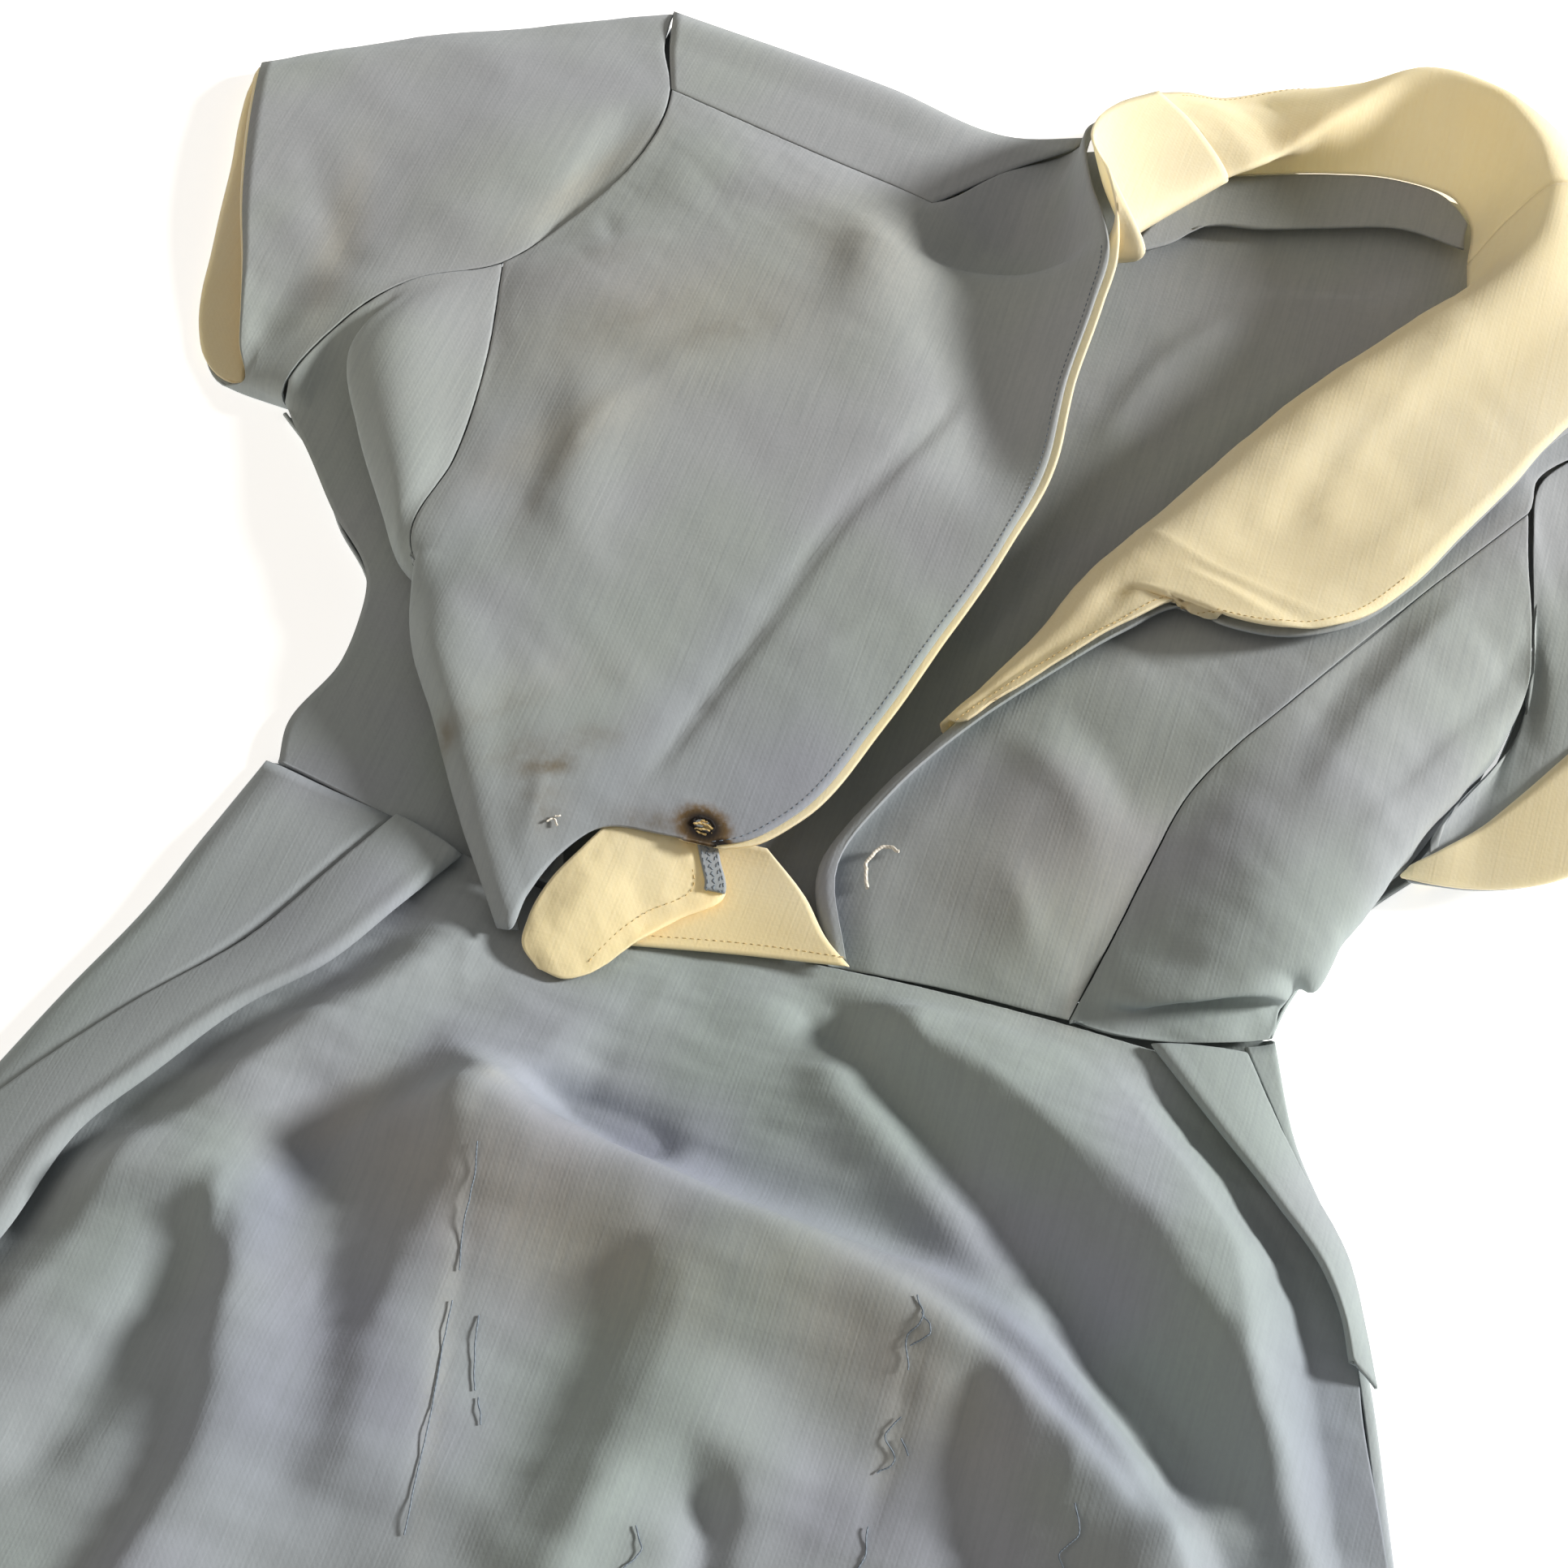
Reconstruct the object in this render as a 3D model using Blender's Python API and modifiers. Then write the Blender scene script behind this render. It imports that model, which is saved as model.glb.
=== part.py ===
"""A waitress dress lying on its back, opened at the neck.

+Z is up from the surface it lies on, +Y runs from the skirt to the collar, and
the origin is on the underside at the middle of the back waist. The tables below
are in millimetres. "Right" and "left" are the wearer's, so right is at -X.
"""
import math

import bmesh
import bpy
import numpy as np
from mathutils import Vector

MM = 0.001
WALL = 1.2                # thickness of every cloth wall
GAP = 0.3                 # space between two pieces at a seam
LAYER = WALL + GAP        # step from one layer to the next
FOLD_OUT = 3.0            # how far a flat side fold stands out past the back
LIP_SIDE, LIP_TOP = 2.4, 3.8    # heights of that fold's outermost line and of its edge
NOTCH_EASE = 1.9          # further up at the left lapel's notch
ROLL_EASE = 1.3           # further out where the left lapel turns over
NECK_LIFT = 6.9           # how far the back neck stands off the surface
PIPING = 3.0              # cream that shows past the right lapel's edge
CUFF_DEPTH = 32.0
CUFF_STEP = 1.1           # layers from a sleeve to its cuff: the right one lies inside, turned back
TAPE_WIDTH = 8.0
TAPE_ROWS = 9             # where it ends, in quarter rows of the waist facing's table
TIP = 0.05                # how far a cuff's folded hem stands past the sleeve's last ring
SHARPEST = 0.45           # least cosine of half a tube's corner
FOLD_STEPS = 72           # samples along a fold's path
FOLD_BLEND = 5.0          # distance over which a fold's two sides blend
FOLD_FADE = 40.0          # distance over which a fold rises at its ends

BLUE = (0.27, 0.33, 0.40, 1.0)
CREAM = (0.90, 0.78, 0.52, 1.0)

# ---------------------------------------------------------------- seams (x, y, z)
PRINCESS_RIGHT = ((-204, 255, 22), (-190, 201, 24), (-182, 145, 26), (-183, 100, 27),
                  (-154, 68, 16), (-122, 21, 15), (-104, -8, 15.5), (-80, -50, 16.5))
PRINCESS_LEFT = ((234, 245, 31), (223, 227, 31), (200, 189, 31), (178, 150, 32), (160, 118, 32),
                 (150, 102, 30), (138, 78, 26), (131, 45, 21), (126, 15, 17), (122, -6, 14),
                 (119, -22, 12))

# ------------------------------------------------ bodice and skirt outlines (x, y)
SIDE_RIGHT = ((-198, 0), (-203, 14), (-195, 37), (-194, 58), (-199, 88), (-222, 113),
              (-244, 142), (-268, 162))
SIDE_LEFT = ((190, -1), (192, 12), (196, 26), (203, 44), (212, 62), (228, 84))
BACK_ARM_RIGHT = ((-268, 162), (-235, 215), (-206, 290), (-193, 370), (-192, 438))
BACK_ARM_LEFT = ((228, 84), (244, 150), (252, 230), (275, 310), (296, 364))
WAIST_BACK = ((-198, 0), (-100, -8), (0, -10), (100, -8), (190, -1))
SHOULDER_FOLD_RIGHT = ((-192, 438), (-82, 420), (-18, 406), (12, 414))
NECK_BACK = ((12, 414), (66, 420), (110, 426), (150, 430), (180, 428), (200, 418))
SHOULDER_FOLD_LEFT = ((200, 418), (248, 392), (296, 364))

# The back's shoulders, wrapped forward: a row for each line from fold to seam.
YOKE_RIGHT = (
    ((-193, 443, 4.5), (-82, 424, 5), (-18, 408, 8), (12, 418, 8)),
    ((-191, 437, 9), (-81, 418, 11), (-20, 402, 13), (7, 406, 12.5)),
    ((-184, 412, 13), (-83, 388, 17), (-34, 375, 20), (-12, 382, 17.6)),
    ((-173, 383, 16), (-83, 356, 21), (-55, 349, 21.8), (-40, 345, 22)),
)
YOKE_LEFT = (
    ((203, 421, 7), (250, 396, 5), (298, 368, 4.5)),
    ((202, 414, 12), (246, 389, 11), (293, 361, 9)),
    ((197, 396, 14), (238, 369, 15), (284, 338, 13)),
    ((192, 376, 16), (225, 350, 17), (272, 312, 16)),
)

# Right side front, a row for each line across: side, low layer, turn under the
# fold, return, fold, seam.
SIDE_FRONT_RIGHT = (
    ((-268, 163, 6), (-262, 183, 12), (-258, 199, 17), (-256, 206, 18.5), (-250, 217, 20),
     (-243, 227, 21.5), (-236, 234, 22), (-222, 244, 22), (-204, 255, 22)),
    ((-256, 152, 5.5), (-248, 166, 8), (-240, 176, 10), (-233, 182, 13), (-235, 186, 16.5),
     (-241, 190, 17.5), (-247, 190, 20.5), (-238, 198, 26), (-197, 224, 23)),
    ((-228, 120, 5.5), (-215, 130, 8), (-204, 138, 9), (-192, 145, 12), (-194, 148, 15.5),
     (-212, 149, 17), (-227, 150, 20.5), (-220, 157, 27), (-189, 180, 25)),
    ((-200, 90, 5.5), (-185, 92, 8), (-170, 97, 9), (-152, 103, 11), (-154, 107, 15),
     (-180, 111, 16.5), (-201, 113, 20.5), (-196, 118, 27.5), (-182, 130, 27)),
    ((-195, 68, 5.5), (-175, 71, 8), (-155, 76, 9), (-133, 83, 11), (-135, 87, 14.5),
     (-160, 89, 16), (-186, 93, 18.5), (-187, 96, 22), (-184, 100, 25)),
    ((-194, 50, 5.5), (-170, 52, 8), (-145, 56, 9), (-118, 61, 11), (-120, 64, 14),
     (-133, 66, 14.8), (-140, 67, 15.2), (-147, 68, 15.6), (-154, 68, 16)),
    ((-202, 14, 5.5), (-175, 12, 8), (-135, 15, 9), (-92, 17, 10.5), (-94, 20, 13.2),
     (-102, 20, 13.8), (-108, 21, 14.2), (-115, 21, 14.6), (-122, 21, 15)),
    ((-198, -2, 6), (-170, -9, 9), (-135, -17, 10), (-73, -27, 10), (-74, -26, 12.8),
     (-80, -26, 13.3), (-84, -26, 13.7), (-88, -27, 14.1), (-92, -27, 14.5)),
)

# Right front, a row for each line across: seam, fold, top of the fold, chest,
# chest, lapel crease, lapel, lapel edge.
FRONT_RIGHT = (
    ((-173, 383, 16), (-150, 376, 17.5), (-128, 370, 19), (-100, 361, 20.5),
     (-40, 345, 22), (-18, 374, 19), (9, 406, 13), (22, 406, 38)),
    ((-171, 358, 19), (-148, 354, 22), (-125, 350, 24), (-98, 345, 26),
     (-45, 332, 27), (-12, 352, 16), (10, 372, 22), (19, 366, 60)),
    ((-170, 334, 22), (-147, 331, 26), (-124, 328, 28), (-97, 325, 30),
     (-45, 318, 31), (-10, 330, 18), (14, 336, 24), (29, 340, 62)),
    ((-173, 318, 22), (-149, 315, 27), (-124, 312, 29), (-97, 309, 31),
     (-46, 306, 34), (-8, 314, 26), (16, 315, 30), (42, 318, 62)),
    ((-177, 306, 22), (-151, 303, 27), (-126, 301, 30), (-98, 299, 32),
     (-45, 298, 35), (-7, 304, 38), (18, 305, 43), (47, 307, 60)),
    ((-191, 278, 22), (-163, 276, 28), (-135, 274, 31), (-105, 272, 33),
     (-46, 268, 37), (-3, 270, 40), (24, 274, 45), (48, 281, 56)),
    ((-204, 255, 22), (-175, 252, 28), (-146, 249, 31), (-112, 246, 33),
     (-52, 238, 36), (0, 230, 39), (25, 236, 42), (47, 245, 50)),
    ((-190, 201, 24), (-174, 199, 27), (-148, 196, 30), (-118, 193, 32),
     (-65, 188, 34), (-12, 182, 36), (22, 192, 39), (50, 205, 44)),
    ((-182, 145, 26), (-172, 144, 28), (-150, 140, 30), (-120, 137, 32),
     (-72, 130, 33), (-27, 125, 34), (12, 140, 36), (44, 158, 38)),
    ((-183, 100, 27), (-178, 100, 28), (-160, 97, 29.5), (-125, 93, 31),
     (-80, 88, 31), (-39, 84, 31), (-4, 96, 33), (32, 109, 34)),
    ((-154, 68, 16), (-172, 70, 20.5), (-164, 68, 27), (-125, 62, 30),
     (-84, 56, 30), (-47, 57, 29.5), (-10, 64, 31), (22, 70, 31)),
    ((-122, 21, 15), (-141, 21, 20.5), (-134, 20, 27), (-110, 18, 29),
     (-80, 16, 29), (-55, 20, 28), (-28, 20, 28), (4, 21, 28)),
    ((-104, -8, 15), (-122, -8, 20.5), (-115, -9, 26), (-100, -8, 28),
     (-82, -4, 28), (-62, 5, 27.5), (-38, 6, 27), (-10, 6, 26.5)),
    ((-80, -50, 16.5), (-88, -53, 19), (-83, -54, 22.5), (-81, -38, 24),
     (-75, -18, 25), (-66, -5, 26), (-42, 0, 26), (-20, 1.5, 26)),
)

# The column of each front's table where the shoulder seam ends at the neck, and the
# row where the princess seam starts at the armhole.
NECK_COLUMN_RIGHT, PRINCESS_ROW_RIGHT = 4, 6
NECK_COLUMN_LEFT, PRINCESS_ROW_LEFT = 2, 3
LEAF_ENDS_ROW = 4         # the row of the right front's table where the lapel's leaf ends

# The open leaf of the right lapel on its cream side: edge, middle, roll, under.
LEAF_RIGHT = (
    ((37, 434.5, 28), (59, 409.5, 36), (79, 381.5, 38), (73, 391, 26)),
    ((24, 404, 44), (41, 376, 46), (58, 347, 42), (54, 355, 31)),
    ((20.5, 380, 56), (35, 354, 53), (51, 332, 46), (49, 338, 37)),
    ((22, 363, 62), (33, 342, 57.5), (48, 321, 49), (46, 325, 42)),
    ((33.5, 344, 64), (43.5, 332, 61), (57.5, 314, 53), (55.5, 317, 47)),
)

# Left side front, a row for each line across: seam, chest, roll, under, side.
SIDE_FRONT_LEFT = (
    ((234, 245, 31), (238, 222, 31), (245, 192, 29), (249, 165, 25), (246, 148, 15), (238, 128, 7)),
    ((223, 227, 31), (231, 205, 31), (241, 175, 29), (246, 150, 22), (243, 137, 13), (235, 119, 6)),
    ((200, 189, 31), (213, 172, 32), (231, 147, 30), (240, 128, 21), (236, 119, 12), (230, 106, 6)),
    ((178, 150, 32), (194, 134, 34), (215, 112, 32), (227, 95, 22), (223, 88, 12), (222, 84, 6)),
    ((160, 118, 32), (176, 104, 34), (200, 84, 33), (216, 67, 22), (213, 61, 12), (210, 62, 6)),
    ((138, 78, 26), (158, 66, 32), (184, 50, 34), (206, 38, 23), (204, 33, 13), (203, 40, 6)),
    ((131, 45, 21), (150, 38, 28), (174, 28, 33), (198, 18, 24), (198, 15, 14), (197, 26, 6)),
    ((126, 10, 17), (143, 8, 23), (164, 6, 29), (188, 12, 26), (194, 15, 15), (193, 18, 6)),
    ((122.5, -7, 14), (139, -13, 19), (160, -8, 25), (184, 3, 23), (191, 8, 15), (191, 12, 6)),
    ((121, -14, 12.5), (138, -13, 13), (159, 0, 15), (178, 7, 14), (186, 9, 10.5), (190, 9.5, 6)),
    ((120, -18, 12), (138, -17.5, 12.2), (157, -11, 12.2), (175, -5, 10.5), (183, -1, 8),
     (190, 2, 6)),
    ((119, -22.5, 12), (138, -22, 11.8), (156, -18.5, 10.5), (174, -12, 9), (181, -8.5, 7.5),
     (189, -4, 6)),
)

# Left front, a row for each line across: seam, chest, chest, under the roll,
# roll, on the roll, lapel, lapel edge.
FRONT_LEFT = (
    ((272, 312, 16), (250, 331, 17), (230, 344, 19), (214, 354, 30),
     (205, 362, 45), (211, 360, 48), (240, 348, 40), (268, 338, 27)),
    ((248, 290, 20), (237, 304, 21), (221, 320, 25), (208, 333, 35),
     (197, 343, 45), (202, 341, 48), (230, 325, 39), (258, 312, 31)),
    ((235, 268, 26), (224, 286, 26), (209, 306, 28), (197, 322, 37),
     (187, 334, 44), (191, 331, 47), (212, 305, 39), (235, 277, 35)),
    ((234, 245, 31), (217, 262, 29), (198, 282, 28), (178, 302, 33),
     (167, 311, 39), (171, 308, 42.5), (195, 285, 38), (226, 253, 35.5)),
    ((223, 227, 31), (200, 240, 28), (178, 252, 26), (155, 266, 29),
     (139, 273, 34), (144, 271, 38), (172, 250, 36), (211, 220, 35.5)),
    ((200, 189, 31), (180, 200, 28), (158, 212, 26), (132, 226, 27),
     (116, 233, 30), (121, 231, 34), (150, 212, 34), (197, 189, 35.5)),
    ((178, 150, 32), (160, 163, 29), (138, 176, 27), (110, 186, 25),
     (93, 190, 26), (98, 188, 30), (128, 176, 33), (178, 163, 36)),
    ((168, 133, 32), (150, 148, 29), (131, 162, 26), (106, 173, 24.5),
     (88, 181, 24.8), (93, 179, 28.8), (119, 169, 32), (157, 152, 35.5)),
    ((160, 118, 32), (143, 133, 29), (124, 149, 26), (100, 163, 23.5),
     (82, 171, 23.6), (87, 169, 27.6), (107, 161, 31), (133, 150.5, 34.5)),
    ((155, 110, 31), (137, 123, 28.5), (117, 137, 26), (93, 152, 23.2),
     (77, 160, 22.4), (82, 159, 26.4), (96, 158, 29), (115, 156, 32)),
    ((150, 102, 30), (131, 112, 28), (110, 122, 26), (86, 134, 23),
     (70, 139, 20), (75, 138, 24), (87, 137, 27), (97, 140, 30)),
    ((138, 78, 26), (118, 85, 25), (96, 94, 24), (72, 106, 20),
     (58, 112, 17.5), (62, 112, 21), (67, 112, 23), (72, 112, 24.5)),
    ((131, 45, 21), (110, 52, 24), (85, 62, 22), (58, 76, 16.5),
     (43, 83, 15), (45, 83, 18), (48, 83, 20), (51, 84, 21)),
    ((126, 10, 17), (104, 15, 20), (78, 24, 19), (46, 38, 14),
     (25, 46, 13), (26, 46, 15.6), (28, 46.5, 17), (31, 47, 18)),
    ((122, -8, 14), (98, -7, 16), (70, 0, 15), (38, 8, 12),
     (15, 13, 11), (16, 13, 13.4), (18, 13.5, 14.6), (21, 14, 15)),
    ((119, -22.5, 12), (96, -22.5, 11.8), (72, -23, 11.4), (48, -24.5, 10.8),
     (30, -25, 10.2), (31, -25, 12.6), (33, -24.7, 13.6), (36, -24.4, 13.8)),
)

# Where the turned lapel shows in the left front's table: its first and last row and
# first column, the column where it lies on the chest, the row where it steps up to
# its narrow strip, and the row of its notch.
TURN_ROWS, TURN_COLUMN, LAPEL_COLUMN, STRIP_ROW, NOTCH_ROW = (2, 12), 3, 5, 6, 7

# The cream round the left of the neck above the lapel: neck side, stand, roll,
# fall, edge.
SCOOP_LEFT = (
    ((187, 385, 16), (199.5, 396.2, 38), (213.5, 404.3, 54), (240, 410.2, 38), (262, 411.2, 18)),
    ((189, 364, 26), (201, 368, 44), (211, 373, 54), (243, 368, 45), (275, 362, 31)),
)

# Collar, a row for each line from the neck over the roll: neck seam, stand, roll,
# fall, edge.
COLLAR = (
    ((65, 408, 10), (71, 400, 24), (79, 382, 38), (59, 410, 36), (37, 435, 28)),
    ((80, 415, 9), (84, 408, 24), (89, 392, 38), (67, 425, 31), (48, 451, 17)),
    ((98, 421, 10), (99, 416, 24), (98, 404, 36), (80, 436, 25), (61, 463, 7)),
    ((120, 426, 12), (120, 428, 28), (120, 432, 40), (104, 460, 25), (91, 481, 5)),
    ((146, 430, 13), (146, 444, 32), (144, 464, 46), (146, 480, 28), (147, 489, 5)),
    ((168, 427, 13), (173, 440, 34), (179, 456, 52), (190, 469, 32), (197, 477, 6)),
    ((182, 412, 14), (191, 422, 37), (200, 433, 54), (222, 444, 36), (239, 450, 14)),
    ((186, 386, 16), (199, 397, 38), (213, 405, 54), (240, 411, 38), (262, 412, 18)),
)

# Back neck facing, a row for each line from the neck seam down.
NECK_FACING = (
    ((65, 408, 10), (80, 415, 9), (98, 421, 10), (120, 426, 12), (146, 430, 13), (168, 427, 13),
     (182, 412, 14)),
    ((55, 384, 10.4), (76, 397, 8.7), (97, 403, 8.8), (120, 409, 10.4), (150, 414, 13), (170, 412, 14),
     (182, 401, 15)),
    ((44, 352, 10.5), (60, 365, 9), (76, 383, 8.3), (96, 387, 8.8), (121, 394, 10.5), (155, 401, 14),
     (183, 396, 15)),
)

# Cream facing turned out at the waist: a row for each line across, top down.
WAIST_FACING = (
    ((-63, 1, 24.4), (-50, 6, 24.2), (-37, 9, 22.8), (-26, 10, 21)),
    ((-69, -13, 24), (-54, -7, 23.4), (-36, -2, 21.4), (-20, -1, 19)),
    ((-76, -30, 22.5), (-61, -25, 23), (-40, -17, 20.5), (-14, -13, 17.5)),
    ((-78, -47, 21.5), (-66, -42, 23.5), (-49, -33, 21), (-27, -28, 17)),
    ((-76, -58, 21), (-64, -56, 21.5), (-50, -49, 19.8), (-38, -42, 18.2)),
    ((-68, -64, 18.5), (-58, -65, 18.5), (-50, -60, 18), (-45, -54, 17.8)),
)
PLACKET_FACING = (
    ((-36, 8, 13.2), (-20, 12, 14), (-6, 12, 15.8)),
    ((-38, -10, 13), (-14, -6, 13.8), (14, -4, 16)),
    ((-42, -28, 13.6), (-8, -22, 14), (28, -20, 16.8)),
    ((-45, -43, 14.8), (-5, -34, 14.4), (38, -27, 16.2)),
)

# Sleeves, a row for each ring: top fold, four or five points on the front, the
# underarm fold, and three on the back.
SLEEVE_RIGHT = (
    ((-192, 440, 5), (-186, 412, 12.5), (-173, 383, 16), (-170, 334, 22), (-186, 287, 22),
     (-204, 255, 22), (-238, 233, 22), (-257, 208, 18), (-268, 165, 7), (-266, 167, 0),
     (-236, 216, 0), (-207, 290, 0), (-194, 370, 0), (-192, 430, 0)),
    ((-247, 414, 5), (-241, 396, 13), (-229, 366, 17), (-223, 322, 22), (-233, 280, 22),
     (-247, 249, 20), (-266, 223, 18), (-275, 200, 14), (-278, 168, 7), (-279, 168, 0),
     (-268, 210, 0), (-252, 270, 0), (-245, 345, 0), (-244, 403, 0)),
    ((-304, 386, 5.5), (-300, 375, 12), (-291, 350, 15), (-281, 312, 17), (-280, 272, 17),
     (-283, 242, 15), (-290, 218, 12), (-290, 195, 10), (-286, 170, 7), (-289, 169, 0),
     (-295, 198, 0), (-297, 250, 0), (-300, 318, 0), (-303, 374, 0)),
    ((-360, 351, 6), (-356, 342, 12), (-350, 322, 14), (-340, 292, 15), (-327, 258, 15),
     (-314, 229, 14), (-305, 206, 12), (-297, 186, 10), (-289, 171, 7), (-300, 171, 0),
     (-321, 196, 0), (-333, 235, 0), (-347, 290, 0), (-360, 342, 0)),
)
SLEEVE_LEFT = (
    ((296, 364, 5), (285, 340, 12.5), (272, 312, 16), (248, 290, 20), (236, 268, 24),
     (238, 240, 25), (245, 205, 21), (252, 165, 9.5), (231, 92, 6), (233, 92, 0),
     (246, 150, 0), (254, 230, 0), (277, 308, 0), (293, 356, 0)),
    ((322, 307, 5), (308, 285, 13), (294, 262, 16), (275, 240, 19), (261, 216, 20),
     (255, 190, 19), (254, 160, 13), (247, 130, 10), (228, 86, 7), (233, 89, 0),
     (252, 130, 0), (272, 190, 0), (300, 250, 0), (319, 298, 0)),
    ((349, 247, 6), (338, 235, 13), (324, 217, 15), (305, 194, 16), (287, 172, 16),
     (272, 150, 15), (259, 128, 13), (245, 106, 11), (224, 80, 8.5), (232, 86, 1.5),
     (255, 108, 1.5), (286, 152, 1.5), (323, 204, 1.5), (346, 239, 1.5)),
    ((375, 191, 7), (368, 183, 13), (354, 169, 15), (332, 145, 16), (309, 122, 16),
     (290, 103, 15), (272, 88, 14), (247, 78, 12), (222.5, 76, 9), (233, 83, 1.5),
     (258, 92, 1.5), (298, 118, 1.5), (341, 161, 1.5), (369, 189, 1.5)),
)

# Skirt: a row for each level below the waist, with the two side outlines.
# columns: level y, right side x, left side x, right wrap, left wrap
SKIRT_LEVELS = (
    (-10, -207, 191, 62, 10),
    (-40, -212, 207, 55, 4),
    (-75, -219, 230, 45, 4),
    (-120, -233, 250, 28, 4),
    (-170, -247, 267, 12, 4),
    (-240, -268, 290, 4, 4),
    (-340, -297, 324, 4, 4),
    (-460, -330, 366, 4, 4),
    (-560, -356, 400, 4, 4),
    (-635, -372, 424, 4, 4),
)
WIDE_WRAP = 10            # a wrap above this stands as high as the side panel over it
WRAP_HIGH, WRAP_LOW = 11.5, 6.5
SKIRT_COLUMNS = 6         # spans across the back's flat part
HEM_HALF, HEM_DROP, HEM_LEAN, HEM_MIDDLE = 400.0, 16.0, 0.09, 30.0
# The back's top edge where it wraps forward at each side of the waist.
WAIST_WRAP_RIGHT = ((-145, -14.8, 10.6), (-172, -9.8, 8.8), (-201, -3, 5.4), (-204, -1.5, 2.8))
WAIST_WRAP_LEFT = ((191, -2, 2.6), (191, -4, 4.6), (187, -7, 5.6), (181.5, -10, 6.4))
PLEAT_RIGHT = ((-113, -23.5, 14.5), (-126, -52, 17), (-141, -84, 19), (-163, -111, 19),
               (-182, -145, 19), (-196, -171, 19), (-205, -220, 18.5), (-230, -280, 17),
               (-268, -335, 14.5))
PLEAT_LEFT = ((149, -22.5, 14), (179, -50, 18), (204, -72, 20), (226, -93, 20), (235, -106, 18),
              (241, -120, 15.5))

SEAM_RIGHT = ((-144, -13.5, 12.6), (-157, -42, 13), (-174, -79, 13), (-205, -121, 13),
              (-235, -170, 12.8), (-252, -205, 11), (-264, -245, 9.4), (-281, -290, 9),
              (-294, -338, 9))
SEAM_LEFT = ((183, -12, 8), (198, -34, 8.4), (213, -54, 8.4), (234, -80, 8.4), (245, -104, 8.4),
             (253, -124, 8.4))
# A skirt side's section from its seam to its pleat edge. columns: share of the way
# over, share of the way up, rise above that
PANEL_SECTION = ((0.0, 0.0, 0.0), (0.34, 0.4, 1.0), (0.7, 0.8, 0.8))
# The pleat edge's roll and turn-under. columns: distance in from the edge, drop
PLEAT_TURN = ((1.5, 0.0), (0.0, 1.8), (2.5, 3.6), (5.0, 3.9))
# The front's edges: its waist, then each side under the pleat and along the side seam.
WAIST_FRONT = ((-127, -18.5, 9), (-73, -27.5, 9.5), (0, -27.5, 9.2), (62, -24, 10.6),
               (119, -23.2, 11.6), (150, -22.6, 9.8), (163, -21, 7.6))
FRONT_EDGE_RIGHT = ((-127, -18.5, 9), (-140, -52, 9.6), (-155, -84, 10), (-176, -111, 10),
                    (-196, -145, 9.8), (-212, -171, 9.4), (-224, -220, 9), (-252, -280, 8.6),
                    (-292, -350, 8.4), (-328, -460, 8.4), (-354, -560, 8.4), (-370, -672, 8.4))
FRONT_EDGE_LEFT = ((163, -21, 7.6), (191, -48, 8.4), (214, -68, 8.6), (234, -90, 8.6),
                   (241, -106, 8.4), (250, -136, 8.4), (264, -172, 8.4), (288, -242, 8.4),
                   (322, -342, 8.4), (364, -460, 8.4), (398, -560, 8.4), (422, -600, 8.4))
FRONT_ROWS, FRONT_COLUMNS = 28, 35
SKIRT_LOFT = 9.0          # how far the skirt's front stands above its sides
LOFT_RUN = 70.0           # distance below the waist over which it rises
UNDER_PLEAT = 14.0        # how far the front runs flat under a pleat or beside a seam
SKIRT_FLOOR = 8.4         # the front's lowest height, above the back's turned sides
WAIST_CALM = 24.0         # how far below the waist its folds reach their full height
ROW_CROWDING = 0.6        # how much closer the rows are at the waist than at the hem

# Folds of the skirt's front: height, width on the path's right, width on its left,
# and the path. A path is followed from its first point; a negative height is a valley.
SKIRT_FOLDS = (
    ("arch", 25, 40, 11, ((-98, -104), (-62, -120), (-33, -127), (10, -136), (60, -141),
                          (110, -147), (150, -163), (180, -188), (204, -216), (240, -290))),
    ("hip ridge", 19, 15, 32, ((30, -40), (90, -54), (130, -70), (160, -88), (192, -113),
                               (223, -143), (248, -189), (272, -262))),
    ("hip valley", -7, 12, 12, ((8, -26), (62, -64), (100, -93), (140, -122), (172, -142),
                                (210, -168), (254, -220))),
    ("side valley", -7, 12, 12, ((130, -130), (192, -177), (222, -214), (260, -290))),
    ("middle ridge", 13, 13, 32, ((8, -130), (22, -183), (22, -220), (28, -272), (36, -350))),
    ("left drop", 13, 14, 30, ((-68, -96), (-62, -157), (-63, -212), (-50, -290))),
    ("plateau", 17, 12, 26, ((-240, -215), (-205, -196), (-178, -186), (-150, -178),
                             (-128, -188), (-116, -222), (-106, -262), (-120, -350))),
    ("left hollow", -6, 18, 18, ((-117, -118), (-113, -175), (-96, -235))),
    ("flank", 7, 16, 22, ((-100, -40), (-135, -105), (-175, -160))),
    ("front wave", 11, 40, 44, ((20, -260), (28, -350), (40, -470), (48, -660))),
    ("right wave", 11, 36, 40, ((-150, -330), (-190, -440), (-240, -660))),
    ("left wave", 11, 36, 40, ((190, -300), (235, -430), (292, -660))),
    ("right dip", -6, 30, 30, ((-60, -300), (-80, -430), (-95, -660))),
    ("left dip", -6, 30, 30, ((120, -300), (140, -440), (165, -660))),
)
BODICE_FOLDS = (
    ("neck fold", 5, 14, 20, ((-60, 330), (-52, 290), (-48, 250))),
    ("chest drag", 3, 12, 16, ((-150, 215), (-130, 150), (-120, 90))),
)


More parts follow.
